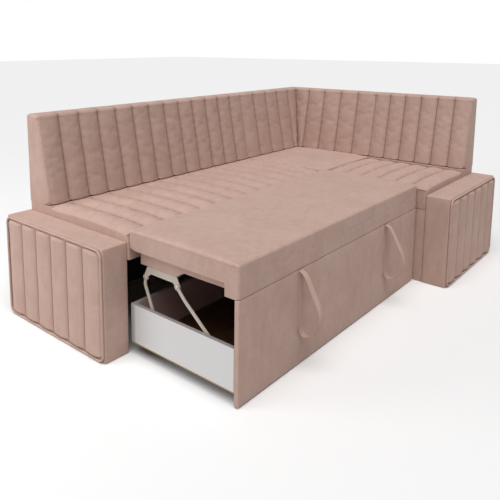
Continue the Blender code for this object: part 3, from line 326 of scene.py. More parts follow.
@dataclass(frozen=True)
class Coat:
    """What all finishes share: each says in paint what feeds its shader."""

    def paint(self, wire: Wiring, groups: Groups, place: Socket, *box: Vector) -> dict:
        """Adds the finish's own nodes; every finish has its own version.

        Args:
            wire: the material's wiring.
            groups: the shared shader groups.
            place: the object's coordinates.
            box: lowest and highest corner of the boards that it covers, where it reads them.

        Returns:
            What feeds each input of the shader.
        """
        raise NotImplementedError

    def make(self, name: str, groups: Groups, *box: Vector) -> bpy.types.Material:
        """Builds the material.

        Args:
            name: the material's name.
            groups: the shared shader groups.
            box: as for paint.

        Returns:
            The material.
        """
        made = bpy.data.materials.new(name)
        made.use_nodes = True
        wire = Wiring(made.node_tree)
        place = wire.node("ShaderNodeTexCoord").outputs["Object"]
        wire.fill(made.node_tree.nodes["Principled BSDF"], self.paint(wire, groups, place, *box))
        return made


@dataclass(frozen=True)
class VelvetFinish(Coat):
    """Short-pile velvet with sewn seams, with shade painted into each seam's crease and the valley beside
    it.
    """

    pale: Colour = (0.565, 0.398, 0.340)
    deep: Colour = (0.480, 0.322, 0.266)
    # painted shade colours: a dark one in each seam's crease and a softer one across the valley beside it
    painted_crease_shade: Colour = (0.175, 0.080, 0.060)
    painted_valley_shade: Colour = (0.420, 0.272, 0.222)
    pile_scale: float = 640.0
    sheen: float = 0.12

    def paint(self, wire: Wiring, groups: Groups, place: Socket, *box: Vector) -> dict:
        """Lays the nap, paints shade into the seams' creases and valleys, and puckers it along them."""
        nap = wire.use(groups.nap, Place=place, Pale=self.pale, Deep=self.deep, Scale=self.pile_scale)
        gap, run = (wire.node("ShaderNodeAttribute", attribute_name=label).outputs["Fac"]
                    for label in ("seam_gap", "seam_run"))
        seam = wire.use(groups.seam, Gap=gap, Run=run)
        # painted shade: the valley beside each seam is darkened, then the seam's crease darker still
        colour = wire.blend(wire.times(seam["Valley"], 0.62), nap["Colour"], self.painted_valley_shade)
        height = wire.sums("ADD", wire.times(nap["Pile"], 0.25), seam["Pucker"])
        return {"Base Color": wire.blend(wire.times(seam["Crease"], 0.62), colour, self.painted_crease_shade),
                "Roughness": nap["Matt"], "Specular IOR Level": 0.18, "Sheen Weight": self.sheen,
                "Sheen Roughness": 0.45, "Sheen Tint": (1.0, 0.90, 0.85),
                "Normal": wire.relief(height, 0.0016, 0.45)}


@dataclass(frozen=True)
class LaminateFinish(Coat):
    """White-faced board with a mauve-grey edge band and an inner face of another colour.

    A point is outside where it lies in the box's outer skin, on a rim where it lies in its top skin, and
    inside anywhere else.
    """

    face: Colour = (0.700, 0.685, 0.693)
    rim: Colour = (0.300, 0.262, 0.270)
    inner: Colour = (0.620, 0.450, 0.430)
    # tone of the printed specks, and also the colour of the shade painted towards the rear
    speck_and_shade_tone: Colour = (0.250, 0.238, 0.248)
    skin: float = 0.0008
    end_shade: tuple[float, float] = (0.030, 0.006)

    def paint(self, wire: Wiring, groups: Groups, place: Socket, *box: Vector) -> dict:
        """Colours the box's outside, rim and inside, and paints shade on its outside towards the rear,
        where it runs under the seat.
        """
        high = box[1]
        _, y, z = wire.axes(place)
        rear = wire.sums("GREATER_THAN", y, high.y - self.skin)
        outside = wire.sums("MAXIMUM", wire.at_sides(place, 0, box, self.skin), rear)
        specks = wire.use(groups.speck, Place=place, Scale=900.0)
        face = wire.blend(wire.times(specks["Specks"], 0.06), self.face, self.speck_and_shade_tone)
        # painted shade: the outside darkens over its last few centimetres towards the rear, where it runs
        # under the seat
        shade = wire.remap(y, high.y - self.end_shade[0], high.y - self.end_shade[1])
        face = wire.blend(wire.times(shade, 0.75), face, self.speck_and_shade_tone)
        rim = wire.sums("GREATER_THAN", z, high.z - self.skin)
        return {"Base Color": wire.blend(rim, wire.blend(outside, self.inner, face), self.rim),
                "Roughness": wire.remap(specks["Relief"], 0.2, 0.8, 0.38, 0.52),
                "Normal": wire.relief(specks["Relief"], 0.0003, 0.2)}


@dataclass(frozen=True)
class BoardFinish(Coat):
    """A bare wood-based board with a cut edge of another colour round it."""

    pale: Colour
    deep: Colour
    edge: Colour
    scale: float
    roughness: float = 0.62
    skin: float = 0.0004

    def paint(self, wire: Wiring, groups: Groups, place: Socket, *box: Vector) -> dict:
        """Runs the grain along x and colours the cut edges."""
        grain = wire.use(groups.grain, Place=wire.stretch(place, (0.22, 1.0, 1.0)), Scale=self.scale)
        colour = wire.blend(grain["Grain"], self.deep, self.pale)
        colour = wire.blend(wire.times(grain["Pores"], 0.4), colour, self.deep)
        cut = wire.sums("MAXIMUM", *(wire.at_sides(place, axis, box, self.skin) for axis in (0, 1)))
        return {"Base Color": wire.blend(cut, colour, self.edge), "Roughness": self.roughness,
                "Normal": wire.relief(grain["Grain"], 0.0004, 0.25)}


@dataclass(frozen=True)
class LiningFinish(Coat):
    """Black felted lining cloth over board: dull, with pressed dimples and loose fibres."""

    ground: Colour = (0.048, 0.052, 0.055)
    fluff: Colour = (0.110, 0.120, 0.125)

    def paint(self, wire: Wiring, groups: Groups, place: Socket, *box: Vector) -> dict:
        """Presses dimples into the felt and lets its fibres catch light between them."""
        specks = wire.use(groups.speck, Place=place, Scale=520.0)
        dimple = wire.node("ShaderNodeTexVoronoi", {"Vector": place, "Scale": 420.0}, feature="F1")
        pressed = wire.remap(dimple.outputs["Distance"], 0.1, 0.5)
        share = wire.times(specks["Relief"], wire.sums("ADD", 0.35, pressed))
        return {"Base Color": wire.blend(share, self.ground, self.fluff),
                "Roughness": wire.remap(specks["Relief"], 0.2, 0.8, 0.82, 0.96),
                "Normal": wire.relief(pressed, 0.0005, 0.35)}


@dataclass(frozen=True)
class MetalFinish(Coat):
    """Painted or zinc-plated steel with handling marks."""

    colour: Colour
    worn: Colour
    roughness: float
    metallic: float
    scale: float = 60.0

    def paint(self, wire: Wiring, groups: Groups, place: Socket, *box: Vector) -> dict:
        """Wears the metal by smudges and scratches."""
        marks = wire.use(groups.scuff, Place=place, Scale=self.scale)
        specks = wire.use(groups.speck, Place=place, Scale=900.0)
        colour = wire.blend(wire.times(marks["Smudge"], 0.18), self.colour, self.worn)
        return {"Base Color": wire.blend(wire.times(marks["Scratch"], 0.35), colour, self.worn),
                "Roughness": wire.remap(marks["Smudge"], 0.0, 1.0, self.roughness, self.roughness + 0.14),
                "Metallic": self.metallic, "Normal": wire.relief(specks["Relief"], 0.0003, 0.3)}


@dataclass(frozen=True)
class PlasticFinish(Coat):
    """Moulded black plastic, finely grained, with a little floor dust."""

    colour: Colour = (0.022, 0.022, 0.024)
    dust: Colour = (0.16, 0.15, 0.14)

    def paint(self, wire: Wiring, groups: Groups, place: Socket, *box: Vector) -> dict:
        """Dusts the plastic and grains it."""
        specks = wire.use(groups.speck, Place=place, Scale=1400.0)
        return {"Base Color": wire.blend(wire.times(specks["Specks"], 0.22), self.colour, self.dust),
                "Roughness": wire.remap(specks["Relief"], 0.2, 0.8, 0.40, 0.62),
                "Normal": wire.relief(specks["Relief"], 0.0002, 0.4)}


@dataclass(frozen=True)
class FloorFinish(Coat):
    """The plain floor: pale to the camera, and a little darker to the light that it throws back."""

    seen: Colour = (0.93, 0.93, 0.93)
    thrown: Colour = (0.66, 0.65, 0.64)

    def paint(self, wire: Wiring, groups: Groups, place: Socket, *box: Vector) -> dict:
        """Picks the colour by the kind of ray."""
        camera = wire.node("ShaderNodeLightPath").outputs["Is Camera Ray"]
        return {"Base Color": wire.blend(camera, self.thrown, self.seen), "Roughness": 0.9,
                "Specular IOR Level": 0.0}


def put(name: str, data: bpy.types.ID) -> bpy.types.Object:
    """Puts data into the scene as an object."""
    obj = bpy.data.objects.new(name, data)
    bpy.context.scene.collection.objects.link(obj)
    return obj


def soften(obj: bpy.types.Object, to_limit: bool) -> None:
    """Subdivides a piece once, and moves its points to the limit surface or leaves them short of it."""
    soft = obj.modifiers.new("softened", "SUBSURF")
    soft.levels = 1
    soft.render_levels = 1
    soft.use_limit_surface = to_limit


@dataclass
class Stuffing:
    """Swells all the pads together by a cloth simulation with pressure, then softens them."""

    frames: int = 20
    settings: dict[str, object] = field(default_factory=lambda: {
        "quality": 4, "mass": 0.35, "air_damping": 2.0, "tension_stiffness": 14.0,
        "compression_stiffness": 14.0, "shear_stiffness": 6.0, "bending_stiffness": 1.2,
        "use_pressure": True, "uniform_pressure_force": 4.0, "shrink_min": -0.012,
        "vertex_group_mass": "held"})
    pads: list[tuple[bpy.types.Object, float]] = field(default_factory=list)

    def run(self) -> None:
        """Simulates every pad, keeps each point within its cap and rounds the result."""
        self.simulate()
        for obj, _ in self.pads:
            soften(obj, False)

    def simulate(self) -> None:
        """Lets the covers swell between their held seams and writes the result to their meshes."""
        scene = bpy.context.scene
        for obj, _ in self.pads:
            cloth = obj.modifiers.new("stuffing", "CLOTH")
            for key, value in self.settings.items():
                setattr(cloth.settings, key, value)
            cloth.settings.effector_weights.gravity = 0.0
            cloth.collision_settings.use_collision = False
            cloth.point_cache.frame_start = 1
            cloth.point_cache.frame_end = self.frames
        for number in range(1, self.frames + 1):
            scene.frame_set(number)
        graph = bpy.context.evaluated_depsgraph_get()
        moved = []
        for obj, cap in self.pads:
            steps = [after.co - vert.co
                     for vert, after in zip(obj.data.vertices, obj.evaluated_get(graph).data.vertices)]
            moved.append([vert.co + (step.normalized() * cap if step.length > cap else step)
                          for vert, step in zip(obj.data.vertices, steps)])
        for (obj, _), spots in zip(self.pads, moved):
            obj.modifiers.remove(obj.modifiers["stuffing"])
            for vert, spot in zip(obj.data.vertices, spots):
                vert.co = spot
            obj.data.update()
        scene.frame_set(1)


class Workshop:
    """Holds the finishes and the stuffing, and hangs every finished piece on its body."""

    def __init__(self) -> None:
        """Builds the shared groups and the finishes."""
        self.stuffing = Stuffing()
        self.groups = groups = Groups()
        drawer = (box_of("drawer_left_side")[0], box_of("drawer_right_side")[1])
        wing = box_of("wing_box_floor")
        velvet = VelvetFinish()
        painted = MetalFinish((0.560, 0.500, 0.420), (0.36, 0.31, 0.25), 0.42, 0.0)
        zinc = MetalFinish((0.60, 0.60, 0.61), (0.34, 0.34, 0.34), 0.32, 0.9)
        hardboard = BoardFinish((0.105, 0.052, 0.022), (0.060, 0.028, 0.012), (0.42, 0.27, 0.11), 30.0)
        plywood = BoardFinish((0.56, 0.41, 0.26), (0.42, 0.29, 0.17), (0.50, 0.36, 0.22), 16.0)
        white_inside = LaminateFinish(inner=(0.62, 0.61, 0.61))
        self.drawer_hardboard = hardboard.make("hardboard_drawer", groups, *box_of("drawer_bottom"))
        self.drawer_laminate = LaminateFinish().make("laminate_drawer", groups, *drawer)
        self.finishes: dict[Finish, bpy.types.Material] = {
            Finish.VELVET: velvet.make("velvet", groups),
            Finish.BOARD_VELVET: velvet.make("velvet_on_board", groups),
            Finish.STRAP_VELVET: VelvetFinish(pile_scale=760.0).make("velvet_strap", groups),
            Finish.LAMINATE: white_inside.make("laminate_box", groups, *wing),
            Finish.HARDBOARD: hardboard.make("hardboard_box", groups, *wing),
            Finish.LINING: LiningFinish().make("felted_lining", groups),
            Finish.PLYWOOD: plywood.make("plywood", groups, *box_of("long_seat_board")),
            Finish.PAINTED_STEEL: painted.make("cream_painted_steel", groups),
            Finish.ZINC_STEEL: zinc.make("zinc_plated_steel", groups),
            Finish.PLASTIC: PlasticFinish().make("black_plastic", groups),
        }

    def dress(self, nodes: Sequence[str], material: bpy.types.Material) -> None:
        """Gives rigid pieces of the frame a material."""
        for name in nodes:
            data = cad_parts[name].data
            data.materials.clear()
            data.materials.append(material)

    def hang(self, bm: bmesh.types.BMesh, name: str, body: str, finish: Finish, replaced: str = "",
             fill: float = 0.0, smooth_below: float = 42.0) -> bpy.types.Object:
        """Turns a bmesh into a finished piece on a body.

        Args:
            bm: the shape, in the frame's own coordinates; it is freed.
            name: the piece's name.
            body: the body that it rides on.
            finish: its finish.
            replaced: the frame piece that it stands for, if any.
            fill: how tightly it would be stuffed; not used.
            smooth_below: edges flatter than this angle in degrees are shaded smooth.

        Returns:
            The object.
        """
        if finish in (Finish.VELVET, Finish.BOARD_VELVET, Finish.STRAP_VELVET):
            for label in ("seam_gap", "seam_run"):
                if label not in bm.verts.layers.float:
                    layer = bm.verts.layers.float.new(label)
                    for vert in bm.verts:
                        vert[layer] = NO_SEAM
        bmesh.ops.recalc_face_normals(bm, faces=bm.faces)
        mesh = bpy.data.meshes.new(name)
        bm.to_mesh(mesh)
        bm.free()
        mesh.shade_smooth()
        mesh.set_sharp_from_angle(angle=math.radians(smooth_below))
        obj = put(name, mesh)
        mesh.materials.append(self.finishes[finish])
        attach(obj, body)
        if replaced:
            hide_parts(replaced)
        LOG.info("%s on %s: %d faces", name, body, len(mesh.polygons))
        return obj


def hump(share: float, power: float = 0.8) -> float:
    """Rises from 0 at both ends of a stretch to 1 in its middle."""
    return max(0.0, math.sin(math.pi * min(max(share, 0.0), 1.0))) ** power


def rounding(radius: float, distance: float) -> float:
    """How far an edge rounded by a radius drops back at a distance from its end."""
    if not radius or distance >= radius:
        return 0.0
    return radius - math.sqrt(max(radius ** 2 - (radius - distance) ** 2, 0.0))


@dataclass
class Outline:
    """A pad's closed cross-section, drawn clockwise, with what each point of it does.

    seam is how deep the sewn channels cut there, roll how far the pad's ends are drawn in, loose how free
    the cover is to swell, and sunk is 1 on the part that steps in over a board. stitched lists the points
    where a seam runs along the row.
    """

    points: list[Vector] = field(default_factory=list)
    seam: list[float] = field(default_factory=list)
    roll: list[float] = field(default_factory=list)
    loose: list[float] = field(default_factory=list)
    sunk: list[float] = field(default_factory=list)
    stitched: list[int] = field(default_factory=list)

    def stitch(self) -> "Outline":
        """Runs a seam along the row at the last point."""
        self.stitched.append(len(self.points) - 1)
        return self

    def curve(self, path: Callable[[float], tuple[float, float]], count: int, seam: Weight = 0.0,
              roll: Weight = 0.0, loose: Weight = 0.0, sunk: Weight = 0.0) -> "Outline":
        """Adds points along a path, without its first point.

        Args:
            path: gives a point for a share of the path.
            count: how many points.
            seam: see the class.
            roll: see the class.
            loose: see the class.
            sunk: see the class.

        Returns:
            The outline itself.
        """
        for k in range(1, count + 1):
            share = k / count
            self.points.append(Vector(path(share)))
            for kept, weight in ((self.seam, seam), (self.roll, roll), (self.loose, loose),
                                 (self.sunk, sunk)):
                kept.append(weight(share) if callable(weight) else weight)
        return self

    def line(self, across: float, up: float, step: float = 0.011, **weights: Weight) -> "Outline":
        """Adds a straight run to a point; on an empty outline it adds the point alone.

        Args:
            across: the point's first coordinate.
            up: its second coordinate.
            step: rough distance between points.
            weights: see the class.

        Returns:
            The outline itself.
        """
        there = Vector((across, up))
        here = self.points[-1].copy() if self.points else there
        count = max(1, round((there - here).length / step))
        return self.curve(lambda share: tuple(here.lerp(there, share)), count, **weights)

    def arc(self, radius: float, start: float, stop: float, count: int = 5, **weights: Weight) -> "Outline":
        """Adds an arc that goes on from the last point.

        Args:
            radius: its radius.
            start: the angle of the last point seen from the arc's centre, in degrees.
            stop: the angle at its end.
            count: how many points.
            weights: see the class.

        Returns:
            The outline itself.
        """
        begin = math.radians(start)
        centre = self.points[-1] - radius * Vector((math.cos(begin), math.sin(begin)))

        def path(share: float) -> tuple[float, float]:
            """A point of the arc."""
            turn = math.radians(start + (stop - start) * share)
            return (centre.x + radius * math.cos(turn), centre.y + radius * math.sin(turn))

        return self.curve(path, count, **weights)

    def normals(self) -> list[Vector]:
        """The outward direction at each point."""
        count = len(self.points)
        runs = [self.points[(i + 1) % count] - self.points[i - 1] for i in range(count)]
        return [Vector((-run.y, run.x)).normalized() for run in runs]

    def lengths(self) -> list[float]:
        """How far along the outline each point lies."""
        total, found = 0.0, []
        for i, point in enumerate(self.points):
            total += (point - self.points[i - 1]).length if i else 0.0
            found.append(total)
        return found


@dataclass
class SewnPad:
    """A padded cover swept along a row of stations, with channels sewn across the row."""

    name: str
    node: str
    body: str
    outline: Outline
    start: float
    end: float
    place: Place
    channels: int = 0
    pitch: float = 0.0
    depth: float = 0.008
    sharpness: float = 4.5
    draws: tuple[float, float] = (0.010, 0.010)
    step: float = 0.0125
    board: tuple[float, float, float] = (0.0, 0.0, 0.0)
    board_slope: float = 0.0045
    fill: float = 0.7
    swell: float = 0.004
    bulge: Callable[[float], float] = field(default=lambda along: 0.0)
    shift: Callable[[float, float], float] = field(default=lambda along, across: along)
    finish: Finish = Finish.VELVET
    edge_seam: float = NO_SEAM
    rim: float = 0.0007
    wobble: float = 0.0007
    tuck: float = 0.08
    held_draw: float = 0.0005
    held_gap: float = 0.002
    least_step: float = 0.0012
    board_reach: float = 0.0004
    unsewn: float = 0.02
    folds: tuple[float, ...] = (0.0, 0.022, 0.06, 0.13, 0.25, 0.38, 0.5, 0.62, 0.75, 0.87, 0.94, 0.978)
    rolls: tuple[float, ...] = (0.12, 0.35, 0.65, 1.0)

    def stations(self) -> list[float]:
        """Places along the row, closer together at seams, ends and a board's margin."""
        length = self.end - self.start
        if self.channels:
            pitch = self.pitch or length / self.channels
            found = [self.start + pitch * (k + fold) for k in range(self.channels) for fold in self.folds]
        else:
            count = round(length / self.step)
            found = [self.start + length * k / count for k in range(count)]
        fixed = [self.start, self.end]
        fixed += [self.start + self.draws[0] * share for share in self.rolls if self.draws[0]]
        fixed += [self.end - self.draws[1] * share for share in self.rolls if self.draws[1]]
        if self.board[0]:
            low, high = self.board[1:]
            fixed += [low - self.board_slope, low - TOUCH, high + TOUCH, high + self.board_slope]
        found = [here for here in found if self.start < here < self.end
                 and min(abs(here - other) for other in fixed) > self.least_step]
        return sorted(set(found + fixed))

    def fold_at(self, along: float) -> tuple[float, float]:
        """How far out the cover stands between two seams, and how far off the nearest seam is.

        Args:
            along: the station.

        Returns:
            The share of the channel's height and the distance to a seam in metres.
        """
        if not self.channels:
            return 1.0, NO_SEAM
        from_end = min(along - self.start, self.end - along)
        if from_end <= WELD:
            return 0.0, FAR_SEAM
        pitch = self.pitch or (self.end - self.start) / self.channels
        share = ((along - self.start) / pitch) % 1.0
        gap = min(share, 1.0 - share) * pitch
        if from_end < min(pitch * 0.3, gap + WELD):
            gap = max(gap, FAR_SEAM)
        return 1.0 - abs(2.0 * share - 1.0) ** self.sharpness, gap

    def draw_in(self, along: float) -> float:
        """How far the cover is drawn in at a station near one of the ends."""
        return max(rounding(self.draws[0], along - self.start), rounding(self.draws[1], self.end - along))

    def over_board(self, along: float) -> bool:
        """Whether a station lies over the board that is let into the pad."""
        recess, low, high = self.board
        return recess > 0.0 and low - self.board_reach <= along <= high + self.board_reach

    def build(self, shop: Workshop) -> None:
        """Makes the pad, with the group of its held points, and hands it on to be stuffed if it swells.

        Args:
            shop: the workshop that hangs it.
        """
        outline, stations = self.outline, self.stations()
        normals, lengths = outline.normals(), outline.lengths()
        columns, rows = len(stations) - 1, len(outline.points)
        folds = [self.fold_at(along) for along in stations]
        draws = [self.draw_in(along) for along in stations]
        bulges = self.bulge(0.5 * (self.start + self.end)) != 0.0
        bm = bmesh.new()
        bmesh.ops.create_grid(bm, x_segments=columns, y_segments=rows, size=0.5)
        gap_layer, run_layer, loose_layer = (bm.verts.layers.float.new(label)
                                             for label in ("seam_gap", "seam_run", "loose"))
        for vert in bm.verts:
            i = round((vert.co.x + 0.5) * columns)
            j = round((vert.co.y + 0.5) * rows) % rows
            along, (height, gap), point = stations[i], folds[i], outline.points[j]
            lift = self.bulge(along) * outline.loose[j]
            wobble = self.wobble * noise.noise(Vector((along * 11.0, point.x * 11.0, point.y * 11.0)))
            tuck = 1.0 + self.tuck * noise.noise(Vector((along * 3.1, lengths[j] * 14.0, 2.7)))
            drop = self.depth * tuck * (1.0 - height) * outline.seam[j] + draws[i] * outline.roll[j]
            spot = point + normals[j] * (lift + wobble * outline.roll[j] - drop)
            if outline.sunk[j] and self.over_board(along):
                spot.x += self.board[0] * outline.sunk[j]
            if outline.seam[j] < self.unsewn:
                gap = NO_SEAM
            gap = min([gap] + [abs(lengths[j] - lengths[line]) for line in outline.stitched])
            if i in (0, columns) and outline.roll[j]:
                gap = min(gap, self.edge_seam)
            fixed = draws[i] > self.held_draw or gap < self.held_gap or (bulges and lift <= 0.0)
            vert[gap_layer] = gap
            vert[run_layer] = lengths[j] + along
            vert[loose_layer] = 0.0 if fixed else outline.loose[j]
            vert.co = self.place(self.shift(along, spot.x), spot.x, spot.y)
        bmesh.ops.remove_doubles(bm, verts=bm.verts, dist=WELD)
        ends = [edge for edge in bm.edges if edge.is_boundary]
        caps = bmesh.ops.holes_fill(bm, edges=ends, sides=0)["faces"]
        bmesh.ops.inset_individual(bm, faces=caps, thickness=self.rim)
        for vert in {vert for cap in caps for vert in cap.verts}:
            vert[gap_layer] = NO_SEAM
            vert[loose_layer] = 0.0
        bmesh.ops.triangulate(bm, faces=caps)
        bmesh.ops.recalc_face_normals(bm, faces=bm.faces)
        crease_layer = bm.edges.layers.float.new("crease_edge")
        for edge in bm.edges:
            if len(edge.link_faces) == 2 and edge.calc_face_angle() > math.radians(SHARP_FOLD):
                edge[crease_layer] = 1.0
        free = [vert[loose_layer] for vert in bm.verts]
        obj = shop.hang(bm, self.name, self.body, self.finish, self.node, self.fill, SHARP_FOLD)
        held = obj.vertex_groups.new(name="held")
        for index, share in enumerate(free):
            held.add([index], 1.0 - min(max(share, 0.0), 1.0), "REPLACE")
        obj.data.attributes.remove(obj.data.attributes["loose"])
        if self.swell:
            shop.stuffing.pads.append((obj, self.swell))


def pad_on(name: str, node: str, body: str, outline: Outline, along_y: bool = False,
           **details: object) -> SewnPad:
    """Sets out a pad that runs the whole length of a frame piece.

    Args:
        name: the pad's name.
        node: the frame piece that it stands for.
        body: the body that it rides on.
        outline: its cross-section, measured across from the piece's low side.
        along_y: whether it runs along y rather than along x.
        details: the pad's other fields.

    Returns:
        The pad.
    """
    low, high = box_of(node)
    axis = int(along_y)

    def place(along: float, across: float, up: float) -> Vector:
        """Where a point of the row lies in the frame."""
        return Vector((low.x + across, along, up) if along_y else (along, low.y + across, up))

    return SewnPad(name, node, body, outline, low[axis], high[axis], place, **details)


def rounded_box(low: Vector, high: Vector, radius: float,
                crown: Sequence[float] = (0.0, 0.0, 0.0)) -> bmesh.types.BMesh:
    """A box of even quads with rounded edges and slightly swollen faces.

    Args:
        low: its lowest corner.
        high: its highest corner.
        radius: radius of its edges.
        crown: how far the faces across each axis swell in their middle.

    Returns:
        The bmesh.
    """
    cells, border = 14, 3
    bm = bmesh.new()
    bmesh.ops.create_cube(bm, size=2.0)
    bmesh.ops.subdivide_edges(bm, edges=bm.edges[:], cuts=cells - 1, use_grid_fill=True)
    middle, half = (low + high) / 2, (high - low) / 2
    radius = min(radius, min(half) * 0.98)
    for vert in bm.verts:
        flat, swollen = Vector(), Vector()
        for axis in range(3):
            step = round((vert.co[axis] + 1.0) * cells / 2)
            from_end = min(step, cells - step)
            side = -1.0 if step < cells / 2 else 1.0
            if from_end <= border:
                inward = radius * (from_end / border)
            else:
                inward = radius + (half[axis] - radius) * (from_end - border) / (cells / 2 - border)
            flat[axis] = side * (half[axis] - inward) if step * 2 != cells else 0.0
        core = Vector([max(radius - half[axis], min(half[axis] - radius, flat[axis])) for axis in range(3)])
        off = flat - core
        spot = core + off.normalized() * radius if off.length > 1e-9 else flat
        for axis in range(3):
            if abs(vert.co[axis]) > 0.999 and crown[axis]:
                share = 1.0
                for other in range(3):
                    if other != axis:
                        share *= max(0.0, 1.0 - abs(spot[other] / half[other]) ** 3.0)
                swollen[axis] = math.copysign(crown[axis] * share, vert.co[axis])
        vert.co = middle + spot + swollen
    return bm


@dataclass
class Section:
    """A part of the bench, whose pieces one workshop hangs."""

    shop: Workshop

    def build(self) -> None:
        """Makes its pieces; every section has its own version."""
        raise NotImplementedError

    def cover(self, node: str, body: str, radius: float, crown: Sequence[float] = (0.0, 0.0, 0.0)) -> None:
        """Covers a board of the frame with velvet over thin wadding.

        Args:
            node: the board.
            body: the body that it rides on.
            radius: radius of its edges.
            crown: how far its faces swell, for each axis.
        """
        self.shop.hang(rounded_box(*box_of(node), radius, crown), node + "_velvet", body,
                       Finish.BOARD_VELVET, node, 0.95)


@dataclass
class Seats(Section):
    """The three seats: channelled over the bay, plain in the corner, channelled on the wing's lid."""

    flat: float = 0.4537
    roll: float = 0.009
    roll_dip: float = 0.002
    crown: float = 0.012
    lip: float = 0.012
    board_rise: float = 0.0166
    undercut: float = 0.008
    strip: float = 0.0164
    strip_top: float = 0.4312
    wing_top: float = 0.4497
    wing_round: float = 0.012
    sewing: dict[str, object] = field(default_factory=lambda: {
        "depth": 0.0155, "sharpness": 1.7, "draws": (0.006, 0.004), "edge_seam": 0.0018})

    def over_front(self, bottom: float, level: float, stop: float, undercut: float = 0.0) -> Outline:
        """Draws a seat's front wall, the roll over its edge and its crowned top.

        Args:
            bottom: height of the wall's foot.
            level: height of the top at both ends.
            stop: where the top stops.
            undercut: how far the foot is set back.

        Returns:
            The outline so far.
        """
        outline = Outline().line(undercut, bottom, roll=1.0)
        outline.line(0.0, level - self.roll_dip - self.roll, 0.014, roll=1.0,
                     seam=lambda share: 0.15 * share ** 4)
        outline.stitch().arc(self.roll, 180, 90, 5, roll=1.0, seam=lambda share: 0.15 + 0.65 * share,
                             loose=lambda share: 0.5 * share)
        length = stop - self.roll
        return outline.curve(
            lambda share: (self.roll + length * share, level + self.crown * hump(share, 0.5)),
            round(length / 0.011), roll=1.0, seam=lambda share: min(1.0, 0.45 + 8.0 * (1.0 - share)),
            loose=lambda share: hump(share, 0.3))

    def long_seat(self) -> SewnPad:
        """The channelled seat over the bay."""
        node = "long_seat_cushion"
        low, high = box_of(node)
        width, under = high.y - low.y, low.z + self.board_rise
        foot = box_of("long_back_cushion")[0].y - low.y
        outline = self.over_front(low.z, self.flat, foot - 0.002)
        outline.line(foot, self.flat).line(width, self.flat, 0.04).line(width, under, 0.03)
        outline.line(self.lip, under, 0.05).line(self.lip, low.z)
        return pad_on("long_seat_velvet", node, "bench", outline, channels=13, **self.sewing)

    def corner_seat(self) -> SewnPad:
        """The plain seat in the corner."""
        node = "corner_seat_cushion"
        low, high = box_of(node)
        width, edge = high.y - low.y, 0.006
        foot = box_of("corner_back_rear_cushion")[0].y - low.y
        wall = box_of("wing_back_cushion")[0].x
        outline = Outline().line(0.0, low.z, roll=1.0).line(0.0, self.flat - edge, 0.014, roll=1.0)
        outline.arc(edge, 180, 90, 4, roll=1.0)
        outline.line(foot, self.flat, 0.012, roll=1.0, loose=lambda share: hump(share, 0.45))
        outline.line(width, self.flat, 0.04).line(width, low.z, 0.03).line(0.03, low.z, 0.05)
        return pad_on("corner_seat_velvet", node, "bench", outline, draws=(0.005, 0.0),
                      bulge=lambda along: self.crown * hump((along - low.x) / (wall - low.x), 0.45))

    def wing_seat(self) -> SewnPad:
        """The channelled seat on the lid of the wing's box."""
        node = "wing_seat_cushion"
        low, high = box_of(node)
        width, under = high.x - low.x, low.z + self.board_rise
        outline = self.over_front(low.z, self.wing_top, width - self.wing_round, self.undercut)
        outline.arc(self.wing_round, 90, 0, 4, roll=1.0, seam=0.3)
        outline.line(width, self.strip_top, roll=0.4).line(width - self.strip, self.strip_top)
        outline.line(width - self.strip, under, 0.02).line(self.lip, under, 0.05).line(self.lip, low.z)
        return pad_on("wing_seat_velvet", node, "wing_lid", outline, True, channels=6, **self.sewing)

    def build(self) -> None:
        """Makes the three seats."""
        for pad in (self.long_seat(), self.corner_seat(), self.wing_seat()):
            pad.build(self.shop)


